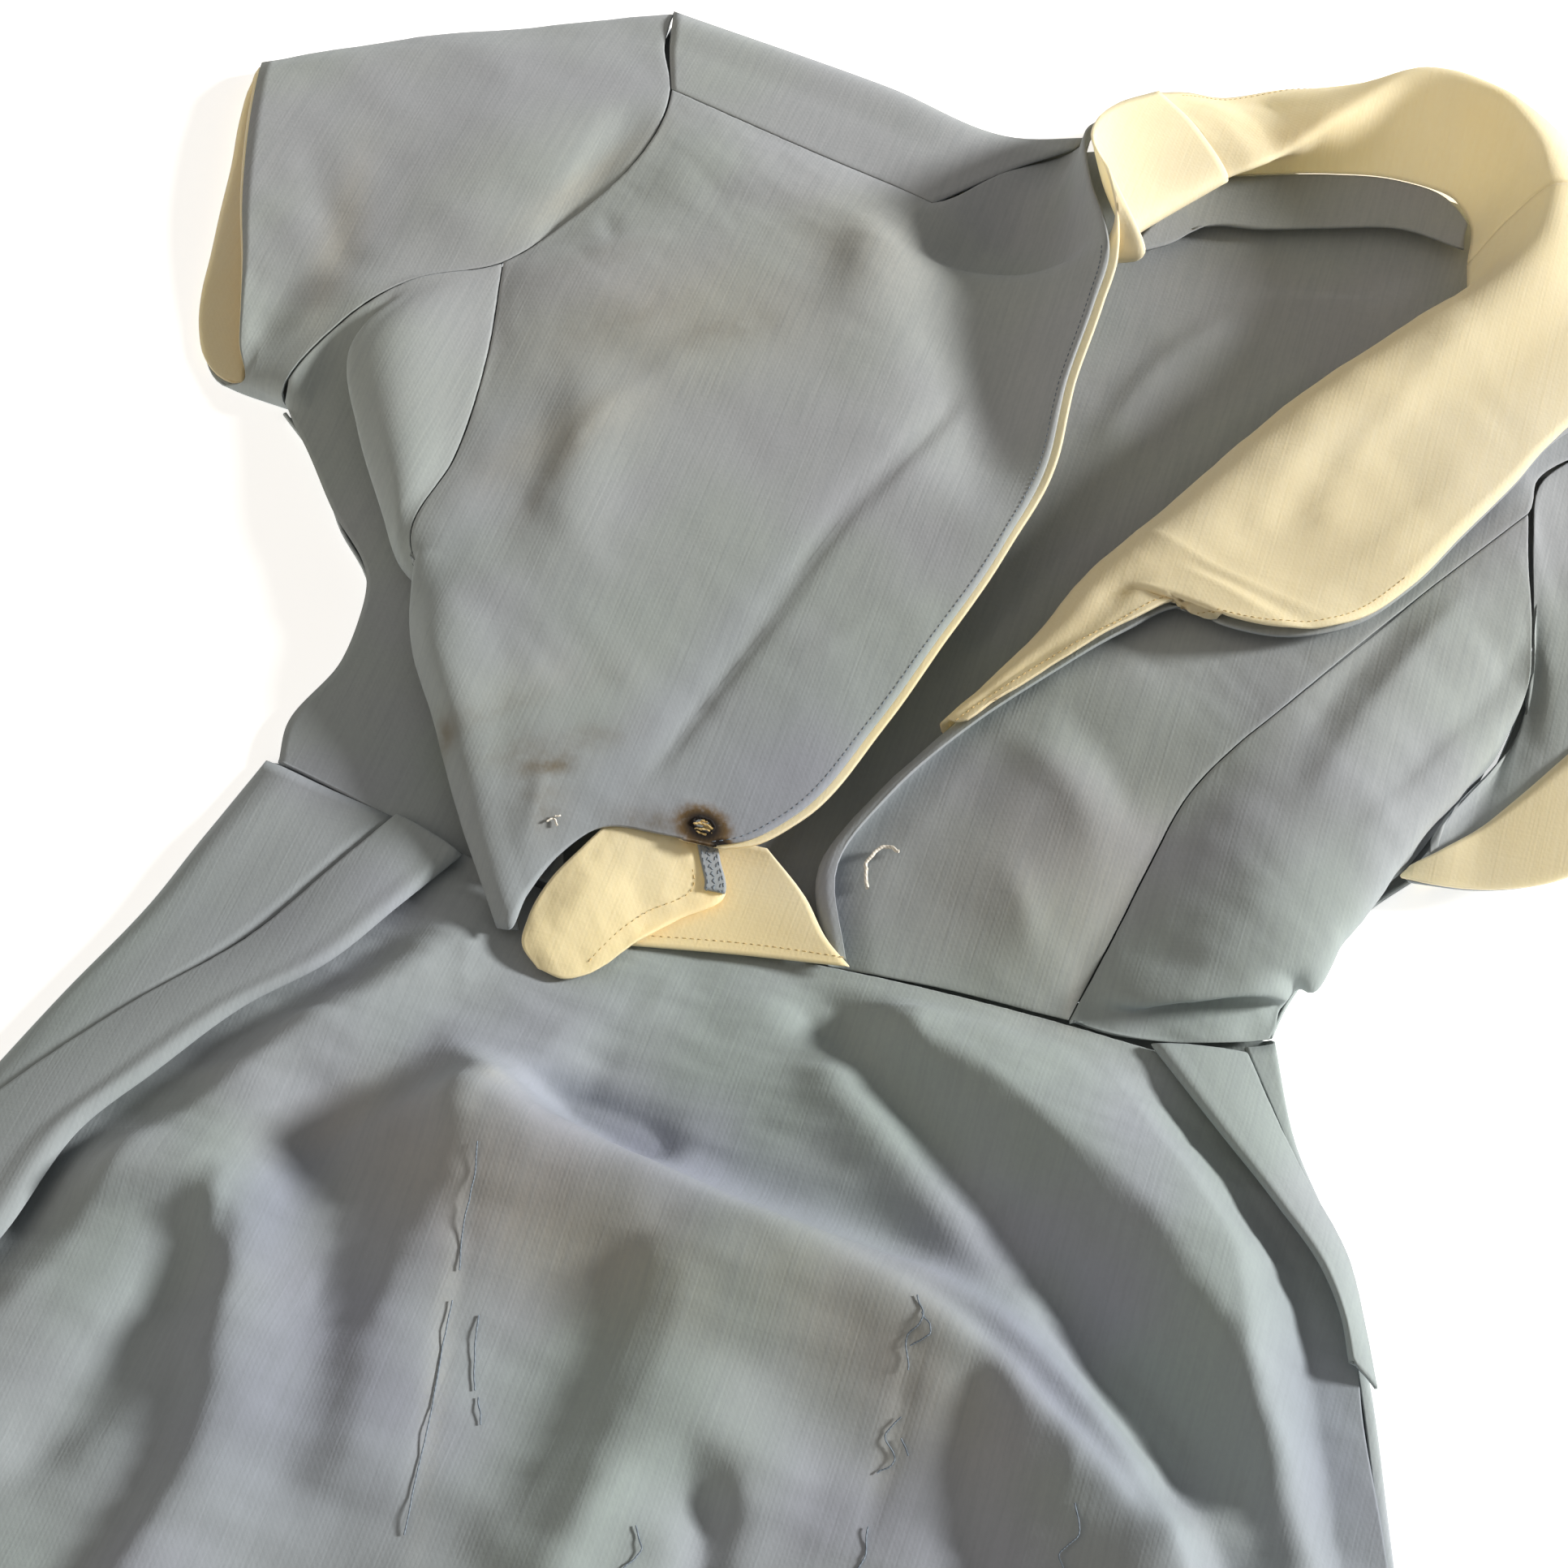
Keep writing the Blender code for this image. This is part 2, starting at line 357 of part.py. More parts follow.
# ---------------------------------------------------------------- curves and grids
def smooth(points, per, closed=False):
    """A cubic through points, along their first axis, with per steps in a span."""
    p = np.asarray(points, float)
    if closed:
        p = np.concatenate([p[-1:], p, p[:2]])
    step = np.linalg.norm(np.diff(p, axis=0), axis=-1, keepdims=True) + 1e-9
    slope = np.diff(p, axis=0) / step
    tangent = np.empty_like(p)
    tangent[0] = slope[0]
    tangent[-1] = slope[-1]
    tangent[1:-1] = (slope[:-1] * step[1:] + slope[1:] * step[:-1]) / (step[:-1] + step[1:])
    spans = range(1, len(p) - 2) if closed else range(len(p) - 1)
    out = []
    for i in spans:
        for k in range(per):
            t = k / per
            out.append((2 * t ** 3 - 3 * t ** 2 + 1) * p[i]
                       + (t ** 3 - 2 * t ** 2 + t) * step[i] * tangent[i]
                       + (3 * t ** 2 - 2 * t ** 3) * p[i + 1]
                       + (t ** 3 - t ** 2) * step[i] * tangent[i + 1])
    if not closed:
        out.append(p[-1])
    return np.array(out)


def evenly(points, count):
    """A smooth curve through points, cut into count equal spans or at given shares."""
    line = smooth(points, 16)
    length = np.concatenate([[0], np.cumsum(np.linalg.norm(np.diff(line, axis=0), axis=1))])
    at = length[-1] * (np.linspace(0, 1, count + 1) if isinstance(count, int) else count)
    return np.stack([np.interp(at, length, line[:, k]) for k in range(line.shape[1])], axis=1)


def flat(points, z=0.0):
    """Plan points given a height."""
    p = np.asarray(points, float)
    return np.column_stack([p[:, 0], p[:, 1], np.full(len(p), z)])


def skin(rows, across, along, closed=False):
    """A grid through rows of points: along steps between rows, across in each span."""
    grid = smooth(rows, along)
    return smooth(grid.transpose(1, 0, 2), across, closed).transpose(1, 0, 2)


def patch(bottom, top, left, right):
    """A grid spanned between four edges that share their corners."""
    u = np.linspace(0, 1, len(bottom))[None, :, None]
    v = np.linspace(0, 1, len(left))[:, None, None]
    ruled = (1 - v) * bottom[None] + v * top[None] + (1 - u) * left[:, None] + u * right[:, None]
    corners = ((1 - u) * (1 - v) * bottom[0] + u * (1 - v) * bottom[-1]
               + (1 - u) * v * top[0] + u * v * top[-1])
    return ruled - corners


def ease(t):
    """A smooth step from 0 to 1."""
    t = np.clip(t, 0, 1)
    return t * t * (3 - 2 * t)


def rise(grid, path, right, left):
    """How much of a fold's height each grid point takes, fading at the path's ends."""
    line = evenly(path, FOLD_STEPS)
    run = np.gradient(line, axis=0)
    run /= np.linalg.norm(run, axis=1, keepdims=True)
    share = np.linspace(0, 1, len(line))
    length = np.linalg.norm(np.diff(line, axis=0), axis=1).sum()
    tall = ease(np.minimum(share, 1 - share) * length / FOLD_FADE)
    away = grid[..., None, :2] - line
    side = run[:, 0] * away[..., 1] - run[:, 1] * away[..., 0]
    width = right + (left - right) * (0.5 + 0.5 * np.tanh(side / FOLD_BLEND))
    return (tall * np.exp(-(away ** 2).sum(-1) / width ** 2)).max(-1)


def fold(grid, folds):
    """Raises each fold of a table on a grid."""
    lift = sum(height * rise(grid, path, right, left) for name, height, right, left, path in folds)
    grid[..., 2] += lift
    return grid


def meet(edge, seam, closed=False):
    """Moves the points of a grid's edge onto a seam's curve."""
    line = smooth(seam, 12, closed)
    run = line[1:] - line[:-1]
    for k in range(len(edge)):
        t = np.clip(((edge[k] - line[:-1]) * run).sum(1) / (run ** 2).sum(1), 0, 1)
        foot = line[:-1] + t[:, None] * run
        edge[k] = foot[np.linalg.norm(foot - edge[k], axis=1).argmin()]


def trim(grid, top=0.0, bottom=0.0, left=0.0, right=0.0):
    """Draws a grid's edges in, to leave a seam's gap."""
    def draw(edge, inner, amount):
        way = inner - edge
        edge += way / (np.linalg.norm(way, axis=-1, keepdims=True) + 1e-9) * amount
    draw(grid[0], grid[1], top)
    draw(grid[-1], grid[-2], bottom)
    draw(grid[:, 0], grid[:, 1], left)
    draw(grid[:, -1], grid[:, -2], right)
    return grid


def normals(grid):
    """Unit normals of a grid, up where it is flat with rows running down in y."""
    n = np.cross(np.gradient(grid, axis=0), np.gradient(grid, axis=1))
    return n / (np.linalg.norm(n, axis=-1, keepdims=True) + 1e-9)


def corner_steps(grid):
    """Steps off a tube that keep their distance from both sides of a sharp corner."""
    face = np.cross(np.gradient(grid, axis=0), np.roll(grid, -1, 1) - grid)
    face /= np.linalg.norm(face, axis=-1, keepdims=True)
    n = face + np.roll(face, 1, 1)
    n /= np.linalg.norm(n, axis=-1, keepdims=True)
    return n / np.maximum((n * face).sum(-1, keepdims=True), SHARPEST)


# ---------------------------------------------------------------- solids
def cloth(name, color, roughness=0.85):
    """A woven cloth's material."""
    material = bpy.data.materials.new(name)
    material.use_nodes = True
    shader = material.node_tree.nodes["Principled BSDF"]
    shader.inputs["Base Color"].default_value = color
    shader.inputs["Roughness"].default_value = roughness
    shader.inputs["Metallic"].default_value = 0.0
    return material


def add_grid(bm, grid, closed=False):
    """Adds a grid's faces to a mesh, facing up for rows that run down in y."""
    made = [[bm.verts.new(p * MM) for p in row] for row in grid]
    spans = len(made[0]) if closed else len(made[0]) - 1
    for upper, lower in zip(made, made[1:]):
        for k in range(spans):
            n = (k + 1) % len(upper)
            bm.faces.new((upper[k], lower[k], lower[n], upper[n]))


def wall(name, grids, material, collection, closed=False, outward=False):
    """A cloth wall under one or more grids that share edges."""
    bm = bmesh.new()
    for grid in grids:
        add_grid(bm, grid, closed)
    bmesh.ops.remove_doubles(bm, verts=bm.verts, dist=0.02 * MM)
    bmesh.ops.recalc_face_normals(bm, faces=bm.faces)
    if closed:
        middle = sum((v.co for v in bm.verts), start=Vector()) / len(bm.verts)
        side = sum(f.calc_area() * f.normal.dot(f.calc_center_median() - middle) for f in bm.faces)
    else:
        side = sum(f.calc_area() * f.normal.z for f in bm.faces)
    if side < 0:
        bmesh.ops.reverse_faces(bm, faces=bm.faces)
    mesh = bpy.data.meshes.new(name)
    bm.to_mesh(mesh)
    bm.free()
    mesh.shade_smooth()
    mesh.materials.append(material)
    piece = bpy.data.objects.new(name, mesh)
    collection.objects.link(piece)
    solidify = piece.modifiers.new("wall", "SOLIDIFY")
    solidify.thickness = WALL * MM
    solidify.offset = 1.0 if outward else -1.0
    solidify.use_rim = True
    return piece


# ---------------------------------------------------------------- bodice
def inset(points, amount_x):
    """Plan points moved sideways."""
    return [(x + amount_x, y) for x, y in points]


def lip(edge, sign):
    """The side fold of a flat back: from its edge out and up."""
    side = edge + np.array((sign * FOLD_OUT, 0, LIP_SIDE))
    top = edge + np.array((sign * FOLD_OUT * 0.8, 0, LIP_TOP))
    return np.stack([edge, side, top], axis=1)


def bodice_back(blue, collection):
    """Flat on the surface, its sides turned up and its shoulders wrapped forward."""
    below = above = neck = 6
    right_fold, left_fold = 4, 3
    edge_r = np.concatenate([evenly(flat(inset(SIDE_RIGHT, FOLD_OUT)), below),
                             evenly(flat(BACK_ARM_RIGHT), above)[1:]])
    edge_l = np.concatenate([evenly(flat(inset(SIDE_LEFT, -FOLD_OUT)), below),
                             evenly(flat(BACK_ARM_LEFT), above)[1:]])
    top = np.concatenate([evenly(flat(SHOULDER_FOLD_RIGHT), right_fold),
                          evenly(flat(NECK_BACK), neck)[1:],
                          evenly(flat(SHOULDER_FOLD_LEFT), left_fold)[1:]])
    bottom = evenly(flat(WAIST_BACK), len(top) - 1)
    bottom[0], bottom[-1] = edge_r[0], edge_l[0]
    top[0], top[-1] = edge_r[-1], edge_l[-1]
    main = patch(bottom, top, edge_r, edge_l)
    lift = np.zeros(len(top))
    lift[right_fold:right_fold + neck + 1] = NECK_LIFT
    lift[right_fold] = lift[right_fold + neck] = NECK_LIFT / 2
    main[-1, :, 2] = lift
    grids = [main[::-1], lip(main[:below + 1, 0], -1)[::-1, ::-1], lip(main[:below + 1, -1], 1)[::-1]]
    for rows, first, count in ((YOKE_RIGHT, 0, right_fold), (YOKE_LEFT, right_fold + neck, left_fold)):
        base = main[-1, first:first + count + 1]
        lines = np.stack([base] + [evenly(row, count) for row in rows])
        trim(lines, bottom=GAP)
        grids.append(smooth(lines, 2))
    return wall("bodice_back", grids, blue, collection, outward=True)


def front_right(blue, collection):
    rows = np.array(FRONT_RIGHT, float)
    way = rows[:, -2] - rows[:, -1]
    rows[:, -1] += way / np.linalg.norm(way, axis=1, keepdims=True) * PIPING
    grid = skin(rows, 2, 2)
    fold(grid, BODICE_FOLDS)
    meet(grid[0, :2 * NECK_COLUMN_RIGHT + 1], YOKE_RIGHT[-1])
    meet(grid[:2 * PRINCESS_ROW_RIGHT + 1, 0], SLEEVE_RIGHT[0], closed=True)
    meet(grid[2 * PRINCESS_ROW_RIGHT + 1:, 0], PRINCESS_RIGHT)
    trim(grid, top=GAP, left=GAP)
    return wall("front_right", [grid], blue, collection)


def side_front_right(blue, collection):
    grid = skin(SIDE_FRONT_RIGHT, 2, 2)
    meet(grid[:, -1], PRINCESS_RIGHT)
    meet(grid[0], SLEEVE_RIGHT[0], closed=True)
    trim(grid, top=2 * GAP, bottom=GAP / 2, right=GAP / 2)
    return wall("side_front_right", [grid], blue, collection)


def front_left(blue, collection):
    grid = skin(FRONT_LEFT, 2, 2)
    meet(grid[0, :2 * NECK_COLUMN_LEFT + 1], YOKE_LEFT[-1])
    meet(grid[2 * PRINCESS_ROW_LEFT:, 0], PRINCESS_LEFT)
    trim(grid, top=GAP, bottom=GAP / 2, left=GAP)
    return wall("front_left", [grid[:, ::-1]], blue, collection)


def side_front_left(blue, collection):
    grid = skin(SIDE_FRONT_LEFT, 2, 2)
    meet(grid[:, 0], PRINCESS_LEFT)
    trim(grid, top=GAP, bottom=GAP / 2, left=GAP / 2)
    return wall("side_front_left", [grid], blue, collection)


# ---------------------------------------------------------------- facings and collar
def facing_right(cream, collection):
    """The lapel's cream side: an open leaf above, and a strip under the edge below."""
    front = fold(skin(FRONT_RIGHT, 2, 2), BODICE_FOLDS)
    under = (front - normals(front) * (LAYER + 2 * GAP))[2 * LEAF_ENDS_ROW::2]
    strip = np.stack([under[:, -1], (under[:, -1] + under[:, -2]) / 2, under[:, -2],
                      (under[:, -2] + under[:, -3]) / 2], axis=1)
    rows = np.concatenate([np.array(LEAF_RIGHT, float), strip])
    grid = skin(rows, 2, 2)
    grid[2 * len(LEAF_RIGHT)::2] = skin(strip, 2, 1)
    return wall("facing_right", [grid], cream, collection)


def facing_left(cream, collection):
    """The cream side of the turned lapel, laid on the front's own points."""
    front = skin(FRONT_LEFT, 2, 2)
    step = np.full((front.shape[1], 1), LAYER + GAP)
    step[2 * TURN_COLUMN:2 * LAPEL_COLUMN + 1] += ROLL_EASE
    step[2 * LAPEL_COLUMN:] += 2 * GAP
    laid = front + normals(front) * step
    laid[2 * STRIP_ROW:, :, 2] += 6 * GAP
    laid[2 * NOTCH_ROW:2 * NOTCH_ROW + 4, 2 * LAPEL_COLUMN + 2:, 2] += NOTCH_EASE
    laid = laid[2 * TURN_ROWS[0]:2 * TURN_ROWS[1] + 1, 2 * TURN_COLUMN:]
    grid = skin(np.concatenate([np.array(SCOOP_LEFT, float), laid[::2, ::2]]), 2, 2)
    grid[4:] = laid
    return wall("facing_left", [grid[:, ::-1]], cream, collection, outward=True)


def collar(cream, collection):
    grid = skin(COLLAR, 2, 2)
    trim(grid, top=GAP, bottom=GAP, left=GAP / 2)
    return wall("collar", [grid], cream, collection)


def back_neck_facing(blue, collection):
    grid = skin(NECK_FACING, 2, 2)
    meet(grid[0], [row[0] for row in COLLAR])
    return wall("back_neck_facing", [trim(grid, top=GAP)], blue, collection)


def waist_facing_right(cream, collection):
    return wall("waist_facing_right", [skin(WAIST_FACING, 2, 2)], cream, collection)


def placket_facing_right(cream, collection):
    return wall("placket_facing_right", [skin(PLACKET_FACING, 2, 2)], cream, collection)


def waist_seam_tape(blue, collection):
    """The overlocked allowance along the waist facing's edge, on its own points."""
    face = skin(WAIST_FACING, 2, 4)
    laid = (face + normals(face) * (LAYER + GAP / 3))[1:TAPE_ROWS]
    edge, inner = laid[:, -1], laid[:, -2]
    way = (inner - edge) / np.linalg.norm(inner - edge, axis=1, keepdims=True)
    tape = np.stack([edge + way * TAPE_WIDTH, edge + way * TAPE_WIDTH / 2, edge], axis=1)
    return wall("waist_seam_tape", [tape], blue, collection)


# ---------------------------------------------------------------- sleeves
def rest(grid, rings):
    """Keeps a tube's underside level with the lowest point of the ring it is near."""
    lowest = np.array(rings, float)[..., 2].min(axis=1)
    floor = np.interp(np.linspace(0, 1, len(grid)), np.linspace(0, 1, len(lowest)), lowest)
    grid[..., 2] = np.maximum(grid[..., 2], floor[:, None])
    return grid


def sleeve(name, rings, blue, collection):
    grid = rest(skin(rings, 2, 2, closed=True), rings)
    trim(grid, top=4 * GAP)
    return wall(name, [grid], blue, collection, closed=True)


def cuff(name, rings, out, cream, collection):
    """A band at the hem on the sleeve's own points, moved in or out."""
    fine = rest(skin(rings, 2, 2, closed=True), rings)
    n = corner_steps(fine)
    centre = fine.mean(axis=1, keepdims=True)
    if (n * (fine - centre)).sum() < 0:
        n = -n
    depth = np.linalg.norm(fine[-1] - fine, axis=-1).mean(axis=1)
    first = int(np.abs(depth - CUFF_DEPTH).argmin())
    band = (fine + n * (LAYER * out))[first:]
    band = np.concatenate([band, band[-1:] + (band[-1:] - band[-2:-1]) * TIP])
    band[..., 2] = np.maximum(band[..., 2], 0.0 if out > 0 else LAYER)
    return wall(name, [band], cream, collection, closed=True)


# ---------------------------------------------------------------- skirt
def hem_dip(x):
    """The hem's curve: lower at the middle, and square to the leaning skirt."""
    return HEM_LEAN * (x - HEM_MIDDLE) - HEM_DROP * (1 - (x / HEM_HALF) ** 2)


def skirt_back_row(y, right, left, wrap_right, wrap_left):
    """One line across the back: the right wrap, the flat part and the left wrap."""
    tall = WRAP_HIGH if wrap_right > WIDE_WRAP else WRAP_LOW
    row = [(right + wrap_right, y - wrap_right * 0.05, tall),
           (right + wrap_right * 0.5, y, tall * 0.85), (right + 1.0, y, 5.0), (right, y, 2.6)]
    row += [(x, y, 0.0) for x in np.linspace(right + FOLD_OUT, left - FOLD_OUT, SKIRT_COLUMNS + 1)]
    row += [(left, y, 2.6), (left - 1, y, 5.0), (left - wrap_left * 0.5 - 0.5, y, 6.0),
            (left - wrap_left - 0.5, y, WRAP_LOW)]
    return row


def skirt_back(blue, collection):
    rows = np.array([skirt_back_row(*level) for level in SKIRT_LEVELS])
    waist = smooth(WAIST_BACK, 8)
    rows[0, :, 1] = np.interp(rows[0, :, 0], waist[:, 0], waist[:, 1]) - 3 * GAP
    rows[0, :len(WAIST_WRAP_RIGHT)] = WAIST_WRAP_RIGHT
    rows[0, -len(WAIST_WRAP_LEFT):] = WAIST_WRAP_LEFT
    rows[-1, :, 1] += hem_dip(rows[-1, :, 0])
    return wall("skirt_back", [skin(rows, 1, 1)], blue, collection, outward=True)


def side_panel(seam, pleat):
    """A skirt side: from its seam to a pleat edge that turns under."""
    rows = []
    for start, edge in zip(np.array(seam, float), np.array(pleat, float)):
        way = math.copysign(1.0, edge[0] - start[0])
        row = [start + (edge - start) * (over, over, up) + (0, 0, above)
               for over, up, above in PANEL_SECTION]
        row += [edge - (way * back, 0, drop) for back, drop in PLEAT_TURN]
        rows.append(row)
    return rows


def skirt_side(name, seam, pleat, blue, collection):
    grid = skin(side_panel(seam, pleat), 1, 2)
    grid = trim(grid, top=GAP / 2, left=GAP)
    return wall(name, [grid], blue, collection)


def skirt_front(blue, collection):
    """The front, whose edges lie under the pleats above and on the back's sides below."""
    even = np.linspace(0, 1, FRONT_ROWS + 1)
    shares = ROW_CROWDING * even ** 2 + (1 - ROW_CROWDING) * even
    edge_r, edge_l = evenly(FRONT_EDGE_RIGHT, shares), evenly(FRONT_EDGE_LEFT, shares)
    u = np.linspace(0, 1, FRONT_COLUMNS + 1)
    u = (u + 0.5 - 0.5 * np.cos(math.pi * u)) / 2
    top = smooth(WAIST_FRONT, 12)
    top = np.stack([np.interp(u, np.linspace(0, 1, len(top)), top[:, k]) for k in range(3)], 1)
    bottom = edge_r[-1] * (1 - u[:, None]) + edge_l[-1] * u[:, None]
    bottom[:, 1] = SKIRT_LEVELS[-1][0] + hem_dip(bottom[:, 0])
    edge_r[0], edge_l[0] = top[0], top[-1]
    edge_r[-1], edge_l[-1] = bottom[0], bottom[-1]
    v, u = shares[:, None, None], u[None, :, None]
    grid = (1 - v) * top[None] + v * bottom[None] + (1 - u) * edge_r[:, None] + u * edge_l[:, None]
    grid -= ((1 - u) * (1 - v) * top[0] + u * (1 - v) * top[-1]
             + (1 - u) * v * bottom[0] + u * v * bottom[-1])
    near = np.minimum(np.linalg.norm(grid - grid[:, :1], axis=-1),
                      np.linalg.norm(grid - grid[:, -1:], axis=-1))
    inner = ease((near - UNDER_PLEAT) / (2 * UNDER_PLEAT))
    below = np.clip(-(grid[..., 1] + WAIST_CALM) / LOFT_RUN, 0, 1)
    grid[..., 2] += SKIRT_LOFT * below * inner
    drop = np.linalg.norm(grid - grid[:1], axis=-1)
    folds = fold(grid.copy(), SKIRT_FOLDS)[..., 2] - grid[..., 2]
    grid[..., 2] += folds * inner * ease(drop / WAIST_CALM)
    grid[1:, :, 2] = np.maximum(grid[1:, :, 2], SKIRT_FLOOR)
    return wall("skirt_front", [trim(grid, top=GAP)], blue, collection)


def build():
    for item in list(bpy.data.objects):
        bpy.data.objects.remove(item, do_unlink=True)
    collection = bpy.data.collections.new("waitress_dress")
    bpy.context.scene.collection.children.link(collection)
    blue = cloth("blue_twill", BLUE)
    cream = cloth("cream_twill", CREAM)
    bodice_back(blue, collection)
    back_neck_facing(blue, collection)
    side_front_right(blue, collection)
    front_right(blue, collection)
    front_left(blue, collection)
    side_front_left(blue, collection)
    collar(cream, collection)
    facing_right(cream, collection)
    facing_left(cream, collection)
    waist_facing_right(cream, collection)
    placket_facing_right(cream, collection)
    waist_seam_tape(blue, collection)
    sleeve("sleeve_right", SLEEVE_RIGHT, blue, collection)
    sleeve("sleeve_left", SLEEVE_LEFT, blue, collection)
    cuff("cuff_right", SLEEVE_RIGHT, -CUFF_STEP, cream, collection)
    cuff("cuff_left", SLEEVE_LEFT, CUFF_STEP, cream, collection)
    skirt_back(blue, collection)
    skirt_front(blue, collection)
    skirt_side("skirt_side_right", SEAM_RIGHT, PLEAT_RIGHT, blue, collection)
    skirt_side("skirt_side_left", SEAM_LEFT, PLEAT_LEFT, blue, collection)


build()
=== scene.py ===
import math

import bmesh
import bpy
import numpy as np
from mathutils import Matrix, Vector, noise


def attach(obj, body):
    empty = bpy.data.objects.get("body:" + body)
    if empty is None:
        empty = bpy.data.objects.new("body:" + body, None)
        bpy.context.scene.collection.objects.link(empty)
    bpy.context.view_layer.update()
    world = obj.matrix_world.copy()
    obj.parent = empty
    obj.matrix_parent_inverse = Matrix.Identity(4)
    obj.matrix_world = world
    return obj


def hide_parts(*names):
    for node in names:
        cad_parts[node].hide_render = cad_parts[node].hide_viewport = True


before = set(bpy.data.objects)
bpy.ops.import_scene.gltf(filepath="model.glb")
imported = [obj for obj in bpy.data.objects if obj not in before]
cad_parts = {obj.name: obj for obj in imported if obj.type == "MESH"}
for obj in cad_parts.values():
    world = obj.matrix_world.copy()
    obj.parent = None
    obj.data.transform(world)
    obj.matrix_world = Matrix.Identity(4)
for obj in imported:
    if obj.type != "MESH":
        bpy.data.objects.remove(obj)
bpy.context.view_layer.update()

print("frame loaded:", len(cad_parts), "cloth pieces")

mm = 0.001
wall = 1.2    # cloth thickness, mm
gap = 0.3     # space at a seam, mm
layer = wall + gap


# curves and grids, all in mm

def smoothLine(points, per, closed=False):
    # cubic through points along the first axis, per steps in a span
    p = np.asarray(points, float)
    if closed:
        p = np.concatenate([p[-1:], p, p[:2]])
    step = np.linalg.norm(np.diff(p, axis=0), axis=-1, keepdims=True) + 1e-9
    slope = np.diff(p, axis=0) / step
    tangent = np.empty_like(p)
    tangent[0] = slope[0]
    tangent[-1] = slope[-1]
    tangent[1:-1] = (slope[:-1] * step[1:] + slope[1:] * step[:-1]) / (step[:-1] + step[1:])
    spans = range(1, len(p) - 2) if closed else range(len(p) - 1)
    out = []
    for i in spans:
        for k in range(per):
            t = k / per
            out.append((2 * t ** 3 - 3 * t ** 2 + 1) * p[i]
                       + (t ** 3 - 2 * t ** 2 + t) * step[i] * tangent[i]
                       + (3 * t ** 2 - 2 * t ** 3) * p[i + 1]
                       + (t ** 3 - t ** 2) * step[i] * tangent[i + 1])
    if not closed:
        out.append(p[-1])
    return np.array(out)


def runAlong(line):
    return np.concatenate([[0], np.cumsum(np.linalg.norm(np.diff(line, axis=0), axis=-1))])


def evenly(points, count):
    # count is a number of equal spans, or a list of shares
    line = smoothLine(points, 24)
    length = runAlong(line)
    at = length[-1] * (np.linspace(0, 1, count + 1) if isinstance(count, int) else np.asarray(count))
    return np.stack([np.interp(at, length, line[:, k]) for k in range(line.shape[1])], axis=1)


def onFloor(points):
    p = np.asarray(points, float)
    return np.column_stack([p[:, :2], np.zeros(len(p))])


def skin(rows, across, along, closed=False):
    grid = smoothLine(rows, along)
    return smoothLine(grid.transpose(1, 0, 2), across, closed).transpose(1, 0, 2)


def plainGrid(s):
    return skin(s["rows"], s["across"], s["along"])


def patch(bottom, top, left, right, across=None, along=None):
    # a sheet between four edges, with even steps or the shares given
    u = (np.linspace(0, 1, len(bottom)) if across is None else across)[None, :, None]
    v = (np.linspace(0, 1, len(left)) if along is None else along)[:, None, None]
    ruled = (1 - v) * bottom[None] + v * top[None] + (1 - u) * left[:, None] + u * right[:, None]
    corners = ((1 - u) * (1 - v) * bottom[0] + u * (1 - v) * bottom[-1]
               + (1 - u) * v * top[0] + u * v * top[-1])
    return ruled - corners


def ease(t):
    t = np.clip(t, 0, 1)
    return t * t * (3 - 2 * t)


def normals(grid):
    n = np.cross(np.gradient(grid, axis=0), np.gradient(grid, axis=1))
    return n / (np.linalg.norm(n, axis=-1, keepdims=True) + 1e-9)


def ridge(grid, path, right, left, fade=40.0, power=2.0):
    # a fold's share of its height at each grid point: full on the path, fading at its ends
    # power 2 is a soft fold, power 1 a sharp crease
    line = evenly(path, 48)
    run = np.diff(line, axis=0)
    size = (run ** 2).sum(-1)
    flat = grid[..., :2].reshape(-1, 2)
    keep = np.zeros(len(flat))
    reach = 5.2 / power * max(right, left)
    lo, hi = line.min(0) - reach, line.max(0) + reach
    near = np.flatnonzero(((flat > lo) & (flat < hi)).all(1))
    if len(near) == 0:
        return keep.reshape(grid.shape[:-1])
    away = flat[near, None] - line[:-1]
    t = np.clip((away * run).sum(-1) / size, 0, 1)
    off = away - t[..., None] * run
    far = (off ** 2).sum(-1)
    k = far.argmin(1)
    i = np.arange(len(near))
    side = (run[k, 0] * off[i, k, 1] - run[k, 1] * off[i, k, 0]) / np.sqrt(size[k])
    share = (k + t[i, k]) / len(run)
    length = np.sqrt(size).sum()
    tall = ease(np.minimum(share, 1 - share) * length / min(fade, 0.45 * length))
    width = right + (left - right) * (0.5 + 0.5 * np.tanh(side / 5.0))
    keep[near] = tall * np.exp(-(np.sqrt(far[i, k]) / width) ** power)
    return keep.reshape(grid.shape[:-1])


def foldCloth(grid, folds, fade=40.0, power=2.0):
    # a fold is its name, height, width on the path's right and left, and path
    grid[..., 2] += sum(f[1] * ridge(grid, f[4], f[2], f[3], fade, power) for f in folds)
    return grid


